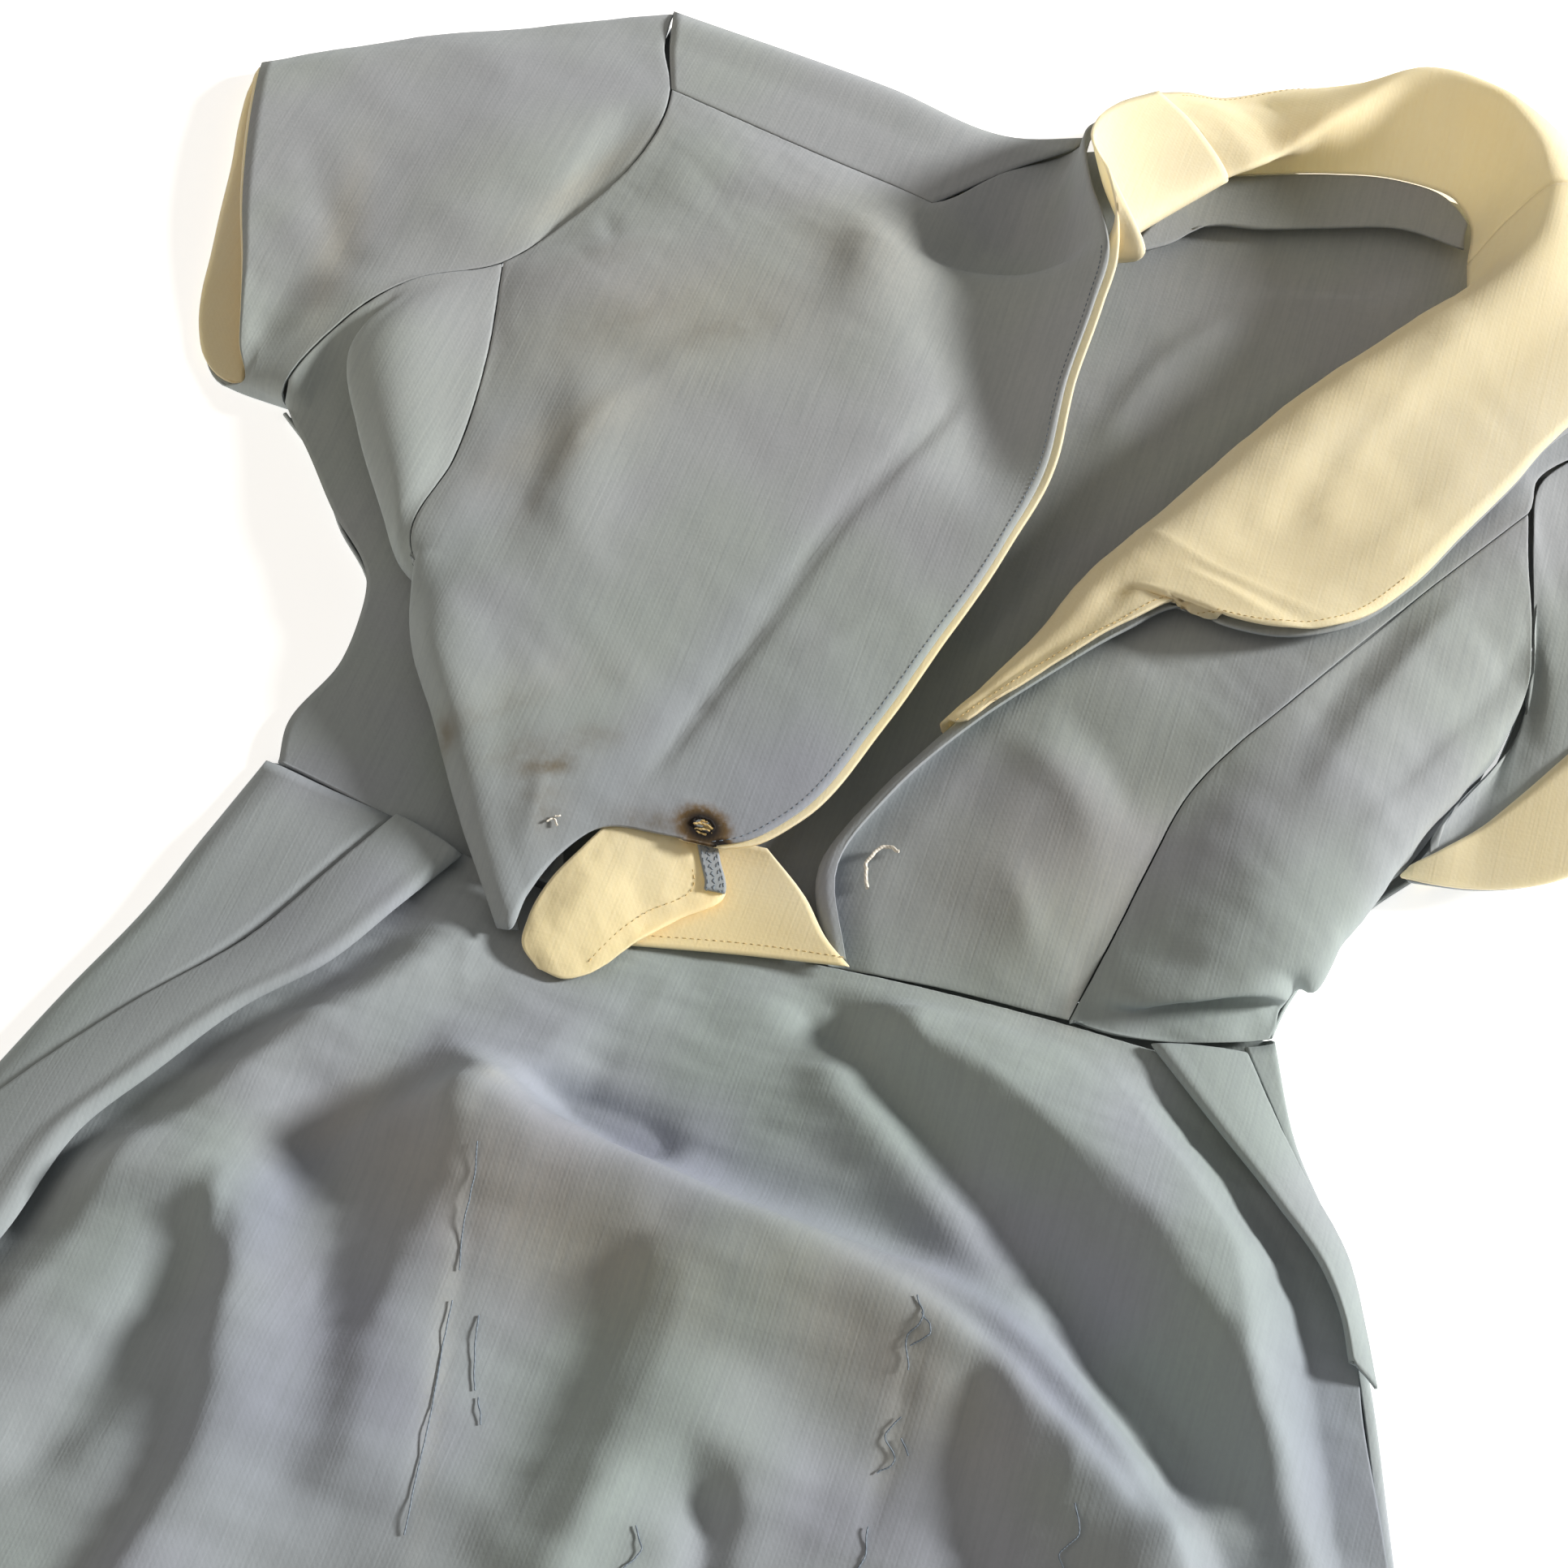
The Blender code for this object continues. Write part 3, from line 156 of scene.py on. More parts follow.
def meetSeam(edgeFirst, seam, first=0, last=None, closed=False, fade=14.0):
    # moves the first row onto a seam's curve between two columns, easing the rows behind it
    line = smoothLine(seam, 24, closed)
    run = line[1:] - line[:-1]
    count = edgeFirst.shape[1]
    last = count - 1 if last is None else last
    shift = np.zeros((count, 3))
    for k in range(first, last + 1):
        p = edgeFirst[0, k]
        t = np.clip(((p - line[:-1]) * run).sum(1) / (run ** 2).sum(1), 0, 1)
        foot = line[:-1] + t[:, None] * run
        shift[k] = foot[np.linalg.norm(foot - p, axis=1).argmin()] - p
    for k in range(count):
        if k < first:
            shift[k] = shift[first] * ease(1 - (first - k) / 5)
        if k > last:
            shift[k] = shift[last] * ease(1 - (k - last) / 5)
    reach = np.linalg.norm(edgeFirst - edgeFirst[:1], axis=-1)
    edgeFirst += shift[None] * ease(1 - reach / fade)[..., None]


def trim(grid, top=0.0, bottom=0.0, left=0.0, right=0.0):
    # draws a sheet's edges in, which leaves a seam's space
    def draw(edge, inner, amount):
        way = inner - edge
        edge += way / (np.linalg.norm(way, axis=-1, keepdims=True) + 1e-9) * amount
    draw(grid[0], grid[1], top)
    draw(grid[-1], grid[-2], bottom)
    draw(grid[:, 0], grid[:, 1], left)
    draw(grid[:, -1], grid[:, -2], right)
    return grid


def crumple(grid, settings):
    # small uneven creases, pushed along the cloth's own normals
    n = normals(grid)
    size, amount, seed, stretch = (settings[key] for key in ("size", "amount", "seed", "stretch"))
    turn = math.radians(settings["turn"])
    c, s = math.cos(turn), math.sin(turn)
    flat = grid.reshape(-1, 3)
    u = (flat[:, 0] * c + flat[:, 1] * s) / size
    v = (-flat[:, 0] * s + flat[:, 1] * c) / (size * stretch)
    w = flat[:, 2] / (size * 2.5)
    push = np.array([noise.fractal((a, b, h + seed), 0.8, 2.1, 3) for a, b, h in zip(u, v, w)])
    push = push.reshape(grid.shape[:-1]) * amount
    # nothing at the edges, where the cloth is sewn
    row, column = (np.minimum(np.arange(k), np.arange(k)[::-1]) for k in push.shape)
    calm = row[:, None] if settings.get("tube") else np.minimum(row[:, None], column[None])
    return grid + n * (push * ease(calm / settings.get("calm", 3)))[..., None]


def turnTo(grid, side):
    # the grid with the side that is named as its first row
    turned = grid if side in ("top", "bottom") else grid.transpose(1, 0, 2)
    return turned[::-1] if side in ("bottom", "right") else turned


seamShape = {"dip": 0.3, "reach": 2.0}    # mm


def seamEdge(grid, side, middle=None):
    # two more rows near a sewn edge, drawn down into the seam and puckered by its stitches
    turned = turnTo(grid, side)
    n = normals(turned[:3])[0]
    way = np.array((0, 0, 1.0)) if middle is None else turned[0] - middle
    n *= np.sign((n * way).sum())
    near = min(seamShape["reach"] / np.linalg.norm(turned[1] - turned[0], axis=-1).mean(), 0.6)
    run = runAlong(turned[0])
    pucker = 1 + 0.22 * np.sin(run * 0.95 + 2 * np.sin(run / 19)) + 0.2 * np.sin(run * 0.41 + 1)
    drop = n * (seamShape["dip"] * pucker)[:, None]
    steps = [turned[0] + (turned[1] - turned[0]) * share for share in (0.0, 0.3 * near, near)]
    turned = np.concatenate([[steps[0] - drop, steps[1] - 0.5 * drop, steps[2]], turned[1:]])
    turned = turned[::-1] if side in ("bottom", "right") else turned
    return turned if side in ("top", "bottom") else turned.transpose(1, 0, 2)


print("curves ready")


# colour and material helpers

def addObject(name, data):
    item = bpy.data.objects.new(name, data)
    bpy.context.scene.collection.objects.link(item)
    return item


def hexColor(code):
    # sRGB hex to the linear values that shaders use
    values = [int(code[i:i + 2], 16) / 255 for i in (1, 3, 5)]
    return (*[c / 12.92 if c <= 0.04045 else ((c + 0.055) / 1.055) ** 2.4 for c in values], 1.0)


def addNode(tree, kind, values=None, links=None, **props):
    node = tree.nodes.new(kind)
    for key, value in props.items():
        setattr(node, key, value)
    for key, value in (values or {}).items():
        node.inputs[key].default_value = value
    for key, source in (links or {}).items():
        tree.links.new(source, node.inputs[key])
    return node


def startMaterial(name, settings):
    material = bpy.data.materials.new(name)
    material.use_nodes = True
    tree = material.node_tree
    shader = tree.nodes["Principled BSDF"]
    for key in ("Roughness", "Specular IOR Level", "Sheen Weight", "Sheen Roughness",
                "Subsurface Weight", "Subsurface Scale", "Subsurface Radius"):
        if key in settings:
            shader.inputs[key].default_value = settings[key]
    if "Sheen Tint" in settings:
        shader.inputs["Sheen Tint"].default_value = hexColor(settings["Sheen Tint"])
    return material, tree, shader


def mixColor(tree, share, a, b):
    node = addNode(tree, "ShaderNodeMix", data_type="RGBA", blend_type="MIX", clamp_factor=True)
    for key, source in ((0, share), (6, a), (7, b)):
        if isinstance(source, (float, tuple)):
            node.inputs[key].default_value = source
        else:
            tree.links.new(source, node.inputs[key])
    return node.outputs[2]


def sumOf(tree, kind, a, b):
    node = addNode(tree, "ShaderNodeMath", operation=kind)
    for key, source in ((0, a), (1, b)):
        if isinstance(source, float):
            node.inputs[key].default_value = source
        else:
            tree.links.new(source, node.inputs[key])
    return node.outputs[0]


def ramp(tree, source, low, high, toLow=0.0, toHigh=1.0):
    node = addNode(tree, "ShaderNodeMapRange", {1: low, 2: high, 3: toLow, 4: toHigh}, {0: source},
                   interpolation_type="SMOOTHSTEP")
    return node.outputs[0]


# woven cotton blend twill, washed soft: matt, a faint fuzz catches light at its edges
twillSettings = {
    "blue": {
        "Roughness": 0.88, "Specular IOR Level": 0.22, "Sheen Weight": 0.18, "Sheen Roughness": 0.55,
        "Sheen Tint": "#C9D3E2",
        "base": "#99A1A5", "cool": "#97A3A2", "violet": "#989DA9", "paleTone": "#BABDB9",
        # violetTint and brownTint are painted shade colours, brownTint partly dirt
        "rib": "#828A90", "violetTint": "#878DA4", "brownTint": "#A59E8B",
        "soil": "#6E6450", "ribShare": 0.34,
    },
    "cream": {
        "Roughness": 0.80, "Specular IOR Level": 0.25, "Sheen Weight": 0.12, "Sheen Roughness": 0.5,
        "Subsurface Weight": 0.4, "Subsurface Scale": 0.010, "Subsurface Radius": (1.0, 0.85, 0.6),
        "Sheen Tint": "#FFF2D8",
        "base": "#FFEAB4", "cool": "#FFE6AC", "violet": "#FFEDC0", "paleTone": "#FFF3D2",
        # violetTint and brownTint are painted shade colours for cream, brownTint partly dirt
        "rib": "#F4D99E", "violetTint": "#E6CE98", "brownTint": "#E2C489",
        "soil": "#A68C58", "ribShare": 0.20,
    },
    "paleFrom": (-0.10, 0.26, 0.0, 0.42),     # height along the dress, m, and the share of the paler tone
    "ribMm": 1.5,       # real ribs are near 0.5 mm apart; drawn wider so that they show
    "twillMm": 2.1,     # step of the twill's diagonal
    "slubMm": (1.5, 38.0),
    "patchMm": 120.0,   # size of the uneven fading
    "fuzzMm": 2.2,
    "smearMm": 14.0, "ashMm": 2.5, "burnt": ("#6B5636", "#1B1410"),
    # how much each thing darkens the threads, and how high it stands
    "threadShares": {"rib": 0.08, "slub": 0.52, "fuzz": 0.40},
    "heights": {"rib": 0.05, "diagonal": 0.05, "slub": 0.9, "weft": 0.4, "fuzz": 0.5}, "bumpMm": 0.22,
}


def noiseOf(tree, place, size, detail, rough=0.5):
    # size in mm: one number, or the width and height of streaks
    scale, source = 1.0, place
    if isinstance(size, tuple):
        source = addNode(tree, "ShaderNodeMapping", {3: (1 / (size[0] * mm), 1 / (size[1] * mm), 60.0)},
                         {0: place}, vector_type="POINT").outputs[0]
    else:
        scale = 1 / (size * mm)
    return addNode(tree, "ShaderNodeTexNoise", {"Scale": scale, "Detail": detail, "Roughness": rough},
                   {"Vector": source}).outputs


def weighed(tree, parts):
    total = None
    for source, share in parts:
        term = sumOf(tree, "MULTIPLY", source, share)
        total = sumOf(tree, "ADD", total, term) if total is not None else term
    return total


def markOf(tree, key):
    return addNode(tree, "ShaderNodeAttribute", attribute_name=key).outputs["Fac"]


def twill(name, colors):
    material, tree, shader = startMaterial(name, colors)
    s, tint = twillSettings, {key: hexColor(code) for key, code in colors.items() if str(code)[0] == "#"}
    place = addNode(tree, "ShaderNodeTexCoord").outputs["Object"]
    across, along = addNode(tree, "ShaderNodeSeparateXYZ", None, {0: place}).outputs[:2]

    # ribs run down the cloth, a finer twill line crosses them
    ribTurn, twillTurn = (2 * math.pi / (s[key] * mm) for key in ("ribMm", "twillMm"))
    slant = weighed(tree, ((across, twillTurn), (along, twillTurn * 0.8)))
    rib, diagonal = (addNode(tree, "ShaderNodeMath", links={0: wave}, operation="SINE").outputs[0]
                     for wave in (sumOf(tree, "MULTIPLY", across, ribTurn), slant))

    # slubs are long thin streaks along the warp, and the weft has some of its own
    slub = noiseOf(tree, place, s["slubMm"], 2.0, 0.6)[0]
    weft = noiseOf(tree, place, s["slubMm"][::-1], 1.0)[0]
    fuzz = noiseOf(tree, place, s["fuzzMm"], 3.0, 0.65)[0]
    patches = noiseOf(tree, place, s["patchMm"], 2.0, 0.55)[1]
    tone = addNode(tree, "ShaderNodeSeparateColor", None, {0: patches}).outputs

    color = mixColor(tree, ramp(tree, tone[0], 0.40, 0.62), tint["base"], tint["cool"])
    color = mixColor(tree, ramp(tree, tone[1], 0.45, 0.68), color, tint["violet"])
    # the violet and brown marks mix painted shade into the colour, the brown partly dirt
    for key in ("violet", "brown"):
        color = mixColor(tree, markOf(tree, key), color, tint[key + "Tint"])
    # the colour grows paler from just below the waist up to the chest and shoulders
    color = mixColor(tree, ramp(tree, along, *s["paleFrom"]), color, tint["paleTone"])
    worn = sumOf(tree, "MULTIPLY", markOf(tree, "worn"), ramp(tree, fuzz, 0.3, 0.7, 0.4, 1.0))
    color = mixColor(tree, worn, color, tint["paleTone"])
    shares = s["threadShares"]
    threads = weighed(tree, ((ramp(tree, rib, -1.0, 1.0), shares["rib"]),
                             (ramp(tree, slub, 0.36, 0.70), shares["slub"]),
                             (ramp(tree, fuzz, 0.3, 0.75), shares["fuzz"])))
    color = mixColor(tree, sumOf(tree, "MULTIPLY", threads, colors["ribShare"]), color, tint["rib"])
    smear = ramp(tree, noiseOf(tree, place, s["smearMm"], 3.0, 0.7)[0], 0.28, 0.66, 0.25, 1.0)
    color = mixColor(tree, sumOf(tree, "MULTIPLY", markOf(tree, "soil"), smear), color, tint["soil"])
    # charred cloth: brown round a burn, near black at its edge, patchy with ash
    char = markOf(tree, "char")
    ash = ramp(tree, noiseOf(tree, place, s["ashMm"], 3.0)[0], 0.2, 0.7, 0.6, 1.0)
    burnt = mixColor(tree, ramp(tree, char, 0.35, 0.85), *(hexColor(code) for code in s["burnt"]))
    color = mixColor(tree, ramp(tree, sumOf(tree, "MULTIPLY", char, ash), 0.08, 0.5), color, burnt)
    tree.links.new(color, shader.inputs["Base Color"])

    waves = {"rib": rib, "diagonal": diagonal, "slub": slub, "weft": weft, "fuzz": fuzz}
    height = weighed(tree, [(waves[key], share) for key, share in s["heights"].items()])
    bump = addNode(tree, "ShaderNodeBump", {"Strength": 0.5, "Distance": s["bumpMm"] * mm},
                   {"Height": height})
    tree.links.new(bump.outputs[0], shader.inputs["Normal"])
    return material


# sewing thread: spun polyester, a little shinier than the cloth
threadSettings = {
    "blue": {"Roughness": 0.6, "Specular IOR Level": 0.35, "base": "#7E8B99", "dark": "#66727F"},
    "cream": {"Roughness": 0.6, "Specular IOR Level": 0.35, "base": "#DEC68F", "dark": "#B89C63"},
    "white": {"Roughness": 0.55, "Specular IOR Level": 0.4, "base": "#F1EEE6", "dark": "#CFC9BC"},
    "plyMm": 0.9,       # twist of the plies
}


def thread(name, colors):
    material, tree, shader = startMaterial(name, colors)
    place = addNode(tree, "ShaderNodeTexCoord")
    ply = addNode(tree, "ShaderNodeTexWave", {"Scale": 0.314 / (threadSettings["plyMm"] * mm)},
                  {"Vector": place.outputs["Object"]}, wave_type="BANDS", bands_direction="DIAGONAL")
    color = mixColor(tree, ply.outputs["Fac"], hexColor(colors["dark"]), hexColor(colors["base"]))
    tree.links.new(color, shader.inputs["Base Color"])
    bump = addNode(tree, "ShaderNodeBump", {"Strength": 0.5, "Distance": 0.1 * mm},
                   {"Height": ply.outputs["Fac"]})
    tree.links.new(bump.outputs[0], shader.inputs["Normal"])
    return material


materials = {
    "blue": twill("blueTwill", twillSettings["blue"]),
    "cream": twill("creamTwill", twillSettings["cream"]),
    "blueThread": thread("blueSewingThread", threadSettings["blue"]),
    "creamThread": thread("creamSewingThread", threadSettings["cream"]),
    "whiteThread": thread("whiteButtonThread", threadSettings["white"]),
}
print("materials ready")


# marks on the cloth: where it is soiled, worn pale or burnt; the violet and brown marks are painted shade,
# the brown partly dirt

# each mark seen from above: x, y, half its width and height in mm, turn in degrees, share
clothMarks = {
    "soil": (
        (-92, 14, 12, 5, 30, 1.0), (-105, 17, 18, 9, 25, 0.35), (-81, 31, 16, 7, 35, 0.35),
        (-88, -3, 14, 9, -70, 0.45), (-135, 17, 5, 9, 20, 0.7), (-123, 29, 22, 6, 45, 0.3),
        (-44, 4, 16, 5, 10, 0.8), (-138, 150, 6, 34, -8, 0.34), (-143, 231, 26, 12, 35, 0.22),
        (-99, 236, 24, 9, 30, 0.3), (-165, 262, 22, 6, 40, 0.25), (93, 155, 3.5, 2.5, 50, 0.8),
    ),
    "char": (
        (-29, 7, 10.5, 8, -15, 1.0), (-21, 2, 5, 4, 0, 0.9),
    ),
    # violet: painted violet shade in hollows and on folds turned from the light, most of it behind the
    # skirt's arch
    "violet": (
        (20, -122, 90, 17, -9, 0.55), (150, -168, 70, 15, -38, 0.7), (-120, -176, 16, 34, 0, 0.6),
        (-90, -250, 60, 50, 0, 0.4), (-166, 132, 16, 50, 0, 0.4), (-52, 70, 12, 90, -16, 0.35),
        (240, -150, 24, 60, 20, 0.5), (-10, 40, 40, 50, -30, 0.3), (-200, 380, 120, 40, 20, 0.25),
        (160, 120, 24, 70, 30, 0.3),
    ),
    # brown: painted brown shade on slopes turned from the light and along creases, partly dirt
    "brown": (
        (-30, -160, 70, 24, -10, 0.5), (90, -170, 60, 22, -20, 0.4), (-120, 240, 60, 34, 30, 0.5),
        (-110, -140, 30, 12, 40, 0.3), (-60, 300, 40, 34, 0, 0.35), (110, 30, 60, 50, 30, 0.35),
        (240, 160, 30, 40, 0, 0.3), (-278, 250, 9, 50, 12, 0.6), (-186, 314, 7, 40, -22, 0.6),
        (-141, 168, 14, 46, -38, 0.45),
    ),
    "worn": (
        (119, -14, 3, 12, 5, 0.9), (-62, -120, 8, 4, 0, 0.5), (-105, 50, 40, 16, 30, 0.4),
        (104, -168, 4, 12, 0, 0.8), (106, -200, 4, 12, 0, 0.8), (-46, -210, 4, 60, 14, 0.5),
    ),
}


def marks(points, table):
    total = np.zeros(len(points))
    for atX, atY, wide, tall, turn, share in table:
        c, s = math.cos(math.radians(turn)), math.sin(math.radians(turn))
        x, y = points[:, 0] - atX, points[:, 1] - atY
        u, v = (x * c + y * s) / wide, (-x * s + y * c) / tall
        total = np.maximum(total, share * np.exp(-(u * u + v * v)))
    return total


# cloth pieces

def clothSize(grid):
    # longest row and column, and the area, in metres
    across = np.linalg.norm(np.diff(grid, axis=1), axis=-1).sum(1).max() * mm
    along = np.linalg.norm(np.diff(grid, axis=0), axis=-1).sum(0).max() * mm
    a, b = grid[1:, :-1] - grid[:-1, :-1], grid[:-1, 1:] - grid[:-1, :-1]
    c, d = grid[1:, :-1] - grid[1:, 1:], grid[:-1, 1:] - grid[1:, 1:]
    area = (np.linalg.norm(np.cross(a, b), axis=-1) + np.linalg.norm(np.cross(c, d), axis=-1)).sum() / 2
    return across, along, area * mm * mm


def clothPiece(name, grids, settings, closed=False, outward=False, hole=None):
    bm = bmesh.new()
    for grid in grids:
        made = [[bm.verts.new(Vector(p) * mm) for p in row] for row in grid]
        spans = len(made[0]) if closed else len(made[0]) - 1
        for j in range(len(made) - 1):
            for k in range(spans):
                n = (k + 1) % len(made[0])
                bm.faces.new((made[j][k], made[j + 1][k], made[j + 1][n], made[j][n]))
    bmesh.ops.remove_doubles(bm, verts=bm.verts, dist=0.02 * mm)
    bmesh.ops.recalc_face_normals(bm, faces=bm.faces)
    if closed:
        middle = sum((v.co for v in bm.verts), start=Vector()) / len(bm.verts)
        side = sum(f.calc_area() * f.normal.dot(f.calc_center_median() - middle) for f in bm.faces)
    else:
        side = sum(f.calc_area() * f.normal.z for f in bm.faces)
    if side < 0:
        bmesh.ops.reverse_faces(bm, faces=bm.faces)
    if hole:
        hole(bm)
    mesh = bpy.data.meshes.new(name)
    bm.to_mesh(mesh)
    bm.free()
    mesh.shade_smooth()
    points = np.array([v.co for v in mesh.vertices]) / mm
    for key, table in clothMarks.items():
        value = marks(points, table if key in settings.get("marks", ()) else ())
        mesh.attributes.new(key, "FLOAT", "POINT").data.foreach_set("value", value.astype(np.float32))
    mesh.materials.append(materials[settings["cloth"]])
    piece = addObject(name, mesh)
    shell = piece.modifiers.new("clothWall", "SOLIDIFY")
    shell.thickness = wall * mm
    shell.offset = 1.0 if outward else -1.0
    shell.use_rim = True
    outer = len(mesh.vertices)
    freeze(piece)
    if not outward:
        # a wall's inner side never goes below the side that rests on the floor
        for v in list(piece.data.vertices)[outer:]:
            v.co.z = max(v.co.z, 0.25 * mm)
    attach(piece, "root")
    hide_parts(*settings["node"])
    low = min(v.co.z for v in piece.data.vertices) / mm
    size = [round(x, 4) for x in clothSize(np.concatenate([grids[0], grids[0][:, :1]], 1)
                                           if closed else grids[0])]
    print(name, "faces", len(piece.data.polygons), "across, along, area", *size, "lowest mm", round(low, 2))
    return piece


def freeze(piece):
    # turns what the modifiers make into the piece's own mesh
    bpy.context.view_layer.update()
    made = bpy.data.meshes.new_from_object(piece.evaluated_get(bpy.context.evaluated_depsgraph_get()),
                                           preserve_all_data_layers=True,
                                           depsgraph=bpy.context.evaluated_depsgraph_get())
    piece.modifiers.clear()
    piece.data = made


# seams that two pieces share: x, y, z
seams = {
    "princessRight": (
        (-204, 255, 22), (-190, 201, 24), (-182, 145, 26), (-183, 100, 27),
        (-154, 68, 16), (-122, 21, 15), (-104, -8, 15.5), (-80, -50, 16.5),
    ),
    "princessLeft": (
        (234, 245, 31), (223, 227, 31), (200, 189, 31), (178, 150, 32), (160, 118, 32),
        (150, 102, 30), (138, 78, 26), (131, 45, 21), (126, 15, 17), (122, -6, 14),
        (119, -22, 12),
    ),
}
outlines = {
    "sideRight": (
        (-198, 0), (-203, 14), (-195, 37), (-194, 58), (-199, 88), (-222, 113),
        (-244, 142), (-268, 162),
    ),
    "sideLeft": ((190, -1), (192, 12), (196, 26), (203, 44), (212, 62), (228, 84)),
    "backArmRight": ((-268, 162), (-235, 215), (-206, 290), (-193, 370), (-192, 438)),
    "backArmLeft": ((228, 84), (244, 150), (252, 230), (275, 310), (296, 364)),
    "waistBack": ((-198, 0), (-100, -8), (0, -10), (100, -8), (190, -1)),
    "shoulderFoldRight": ((-192, 438), (-82, 420), (-18, 406), (12, 414)),
    "neckBack": ((12, 414), (66, 420), (110, 426), (150, 430), (180, 428), (200, 418)),
    "shoulderFoldLeft": ((200, 418), (248, 392), (296, 364)),
}
# the back's shoulders, wrapped forward: a row for each line from fold to seam
yokes = {
    "right": (
        ((-193, 443, 4.5), (-82, 424, 5), (-18, 408, 8), (12, 418, 8)),
        ((-191, 437, 9), (-81, 418, 11), (-20, 402, 13), (7, 406, 12.5)),
        ((-184, 412, 13), (-83, 388, 17), (-34, 375, 20), (-12, 382, 17.6)),
        ((-173, 383, 16), (-83, 356, 21), (-55, 349, 21.8), (-40, 345, 22)),
    ),
    "left": (
        ((203, 421, 7), (250, 396, 5), (298, 368, 4.5)),
        ((202, 414, 12), (246, 389, 11), (293, 361, 9)),
        ((197, 396, 14), (238, 369, 15), (284, 338, 13)),
        ((192, 376, 16), (225, 350, 17), (272, 312, 16)),
    ),
}
# sleeves, a row for each ring from the armhole to the hem
sleeveRings = {
    "right": (
        ((-192, 440, 5), (-186, 412, 12.5), (-173, 383, 16), (-170, 334, 22), (-186, 287, 22),
         (-204, 255, 22), (-238, 233, 22), (-257, 208, 18), (-268, 165, 7), (-266, 167, 0),
         (-236, 216, 0), (-207, 290, 0), (-194, 370, 0), (-192, 430, 0)),
        ((-247, 414, 5), (-241, 396, 13), (-229, 366, 17), (-223, 322, 22), (-233, 280, 22),
         (-247, 249, 20), (-266, 223, 18), (-275, 200, 14), (-278, 168, 7), (-279, 168, 0),
         (-268, 210, 0), (-252, 270, 0), (-245, 345, 0), (-244, 403, 0)),
        ((-304, 386, 5.5), (-300, 375, 12), (-291, 350, 15), (-281, 312, 17), (-280, 272, 17),
         (-283, 242, 15), (-290, 218, 12), (-290, 195, 10), (-286, 170, 7), (-289, 169, 0),
         (-295, 198, 0), (-297, 250, 0), (-300, 318, 0), (-303, 374, 0)),
        ((-360, 351, 6), (-356, 342, 12), (-350, 322, 14), (-340, 292, 15), (-327, 258, 15),
         (-314, 229, 14), (-305, 206, 12), (-297, 186, 10), (-289, 171, 7), (-300, 171, 0),
         (-321, 196, 0), (-333, 235, 0), (-347, 290, 0), (-360, 342, 0)),
    ),
    "left": (
        ((296, 364, 5), (285, 340, 12.5), (272, 312, 16), (248, 290, 20), (236, 268, 24),
         (238, 240, 25), (245, 205, 21), (252, 165, 9.5), (231, 92, 6), (233, 92, 0),
         (246, 150, 0), (254, 230, 0), (277, 308, 0), (293, 356, 0)),
        ((322, 307, 5), (308, 285, 13), (294, 262, 16), (275, 240, 19), (261, 216, 20),
         (255, 190, 19), (254, 160, 13), (247, 130, 10), (228, 86, 7), (233, 89, 0),
         (252, 130, 0), (272, 190, 0), (300, 250, 0), (319, 298, 0)),
        ((349, 247, 6), (338, 235, 13), (324, 217, 15), (305, 194, 16), (287, 172, 16),
         (272, 150, 15), (259, 128, 13), (245, 106, 11), (224, 80, 8.5), (232, 86, 1.5),
         (255, 108, 1.5), (286, 152, 1.5), (323, 204, 1.5), (346, 239, 1.5)),
        ((375, 191, 7), (368, 183, 13), (354, 169, 15), (332, 145, 16), (309, 122, 16),
         (290, 103, 15), (272, 88, 14), (247, 78, 12), (222.5, 76, 9), (233, 83, 1.5),
         (258, 92, 1.5), (298, 118, 1.5), (341, 161, 1.5), (369, 189, 1.5)),
    ),
}


# bodice back: flat on the floor, sides turned up, shoulders wrapped forward

backSettings = {
    "cloth": "blue", "node": ["bodice_back"], "held": "laid", "restsOn": ["floor"],
    "flat": (0.56, 0.52), "area": 0.217, "foldOut": 3.0, "neckLift": 6.9,
    "steps": (36, 48, 40, 48, 30),    # side seam, armhole, right shoulder, neck, left shoulder
    "crease": {"size": 30, "amount": 0.9, "seed": 3.1, "turn": 62, "stretch": 2.4},
    "creases": (
        ("inside long", 4.5, 8, 16, ((142, 330), (96, 250), (62, 180), (36, 110))),
        ("inside short", 3.0, 6, 12, ((106, 350), (72, 296), (60, 240))),
        ("inside low", 2.5, 7, 14, ((20, 150), (6, 90), (-4, 40))),
        ("inside side", 2.0, 8, 14, ((150, 260), (120, 190), (100, 130))),
    ),
}


def inset(points, amount):
    return [(x + amount, y) for x, y in points]


def lip(edge, sign, out):
    side = edge + np.array((sign * out, 0, 2.4))
    top = edge + np.array((sign * out * 0.8, 0, 3.8))
    return smoothLine(np.stack([edge, side, top]), 4).transpose(1, 0, 2)


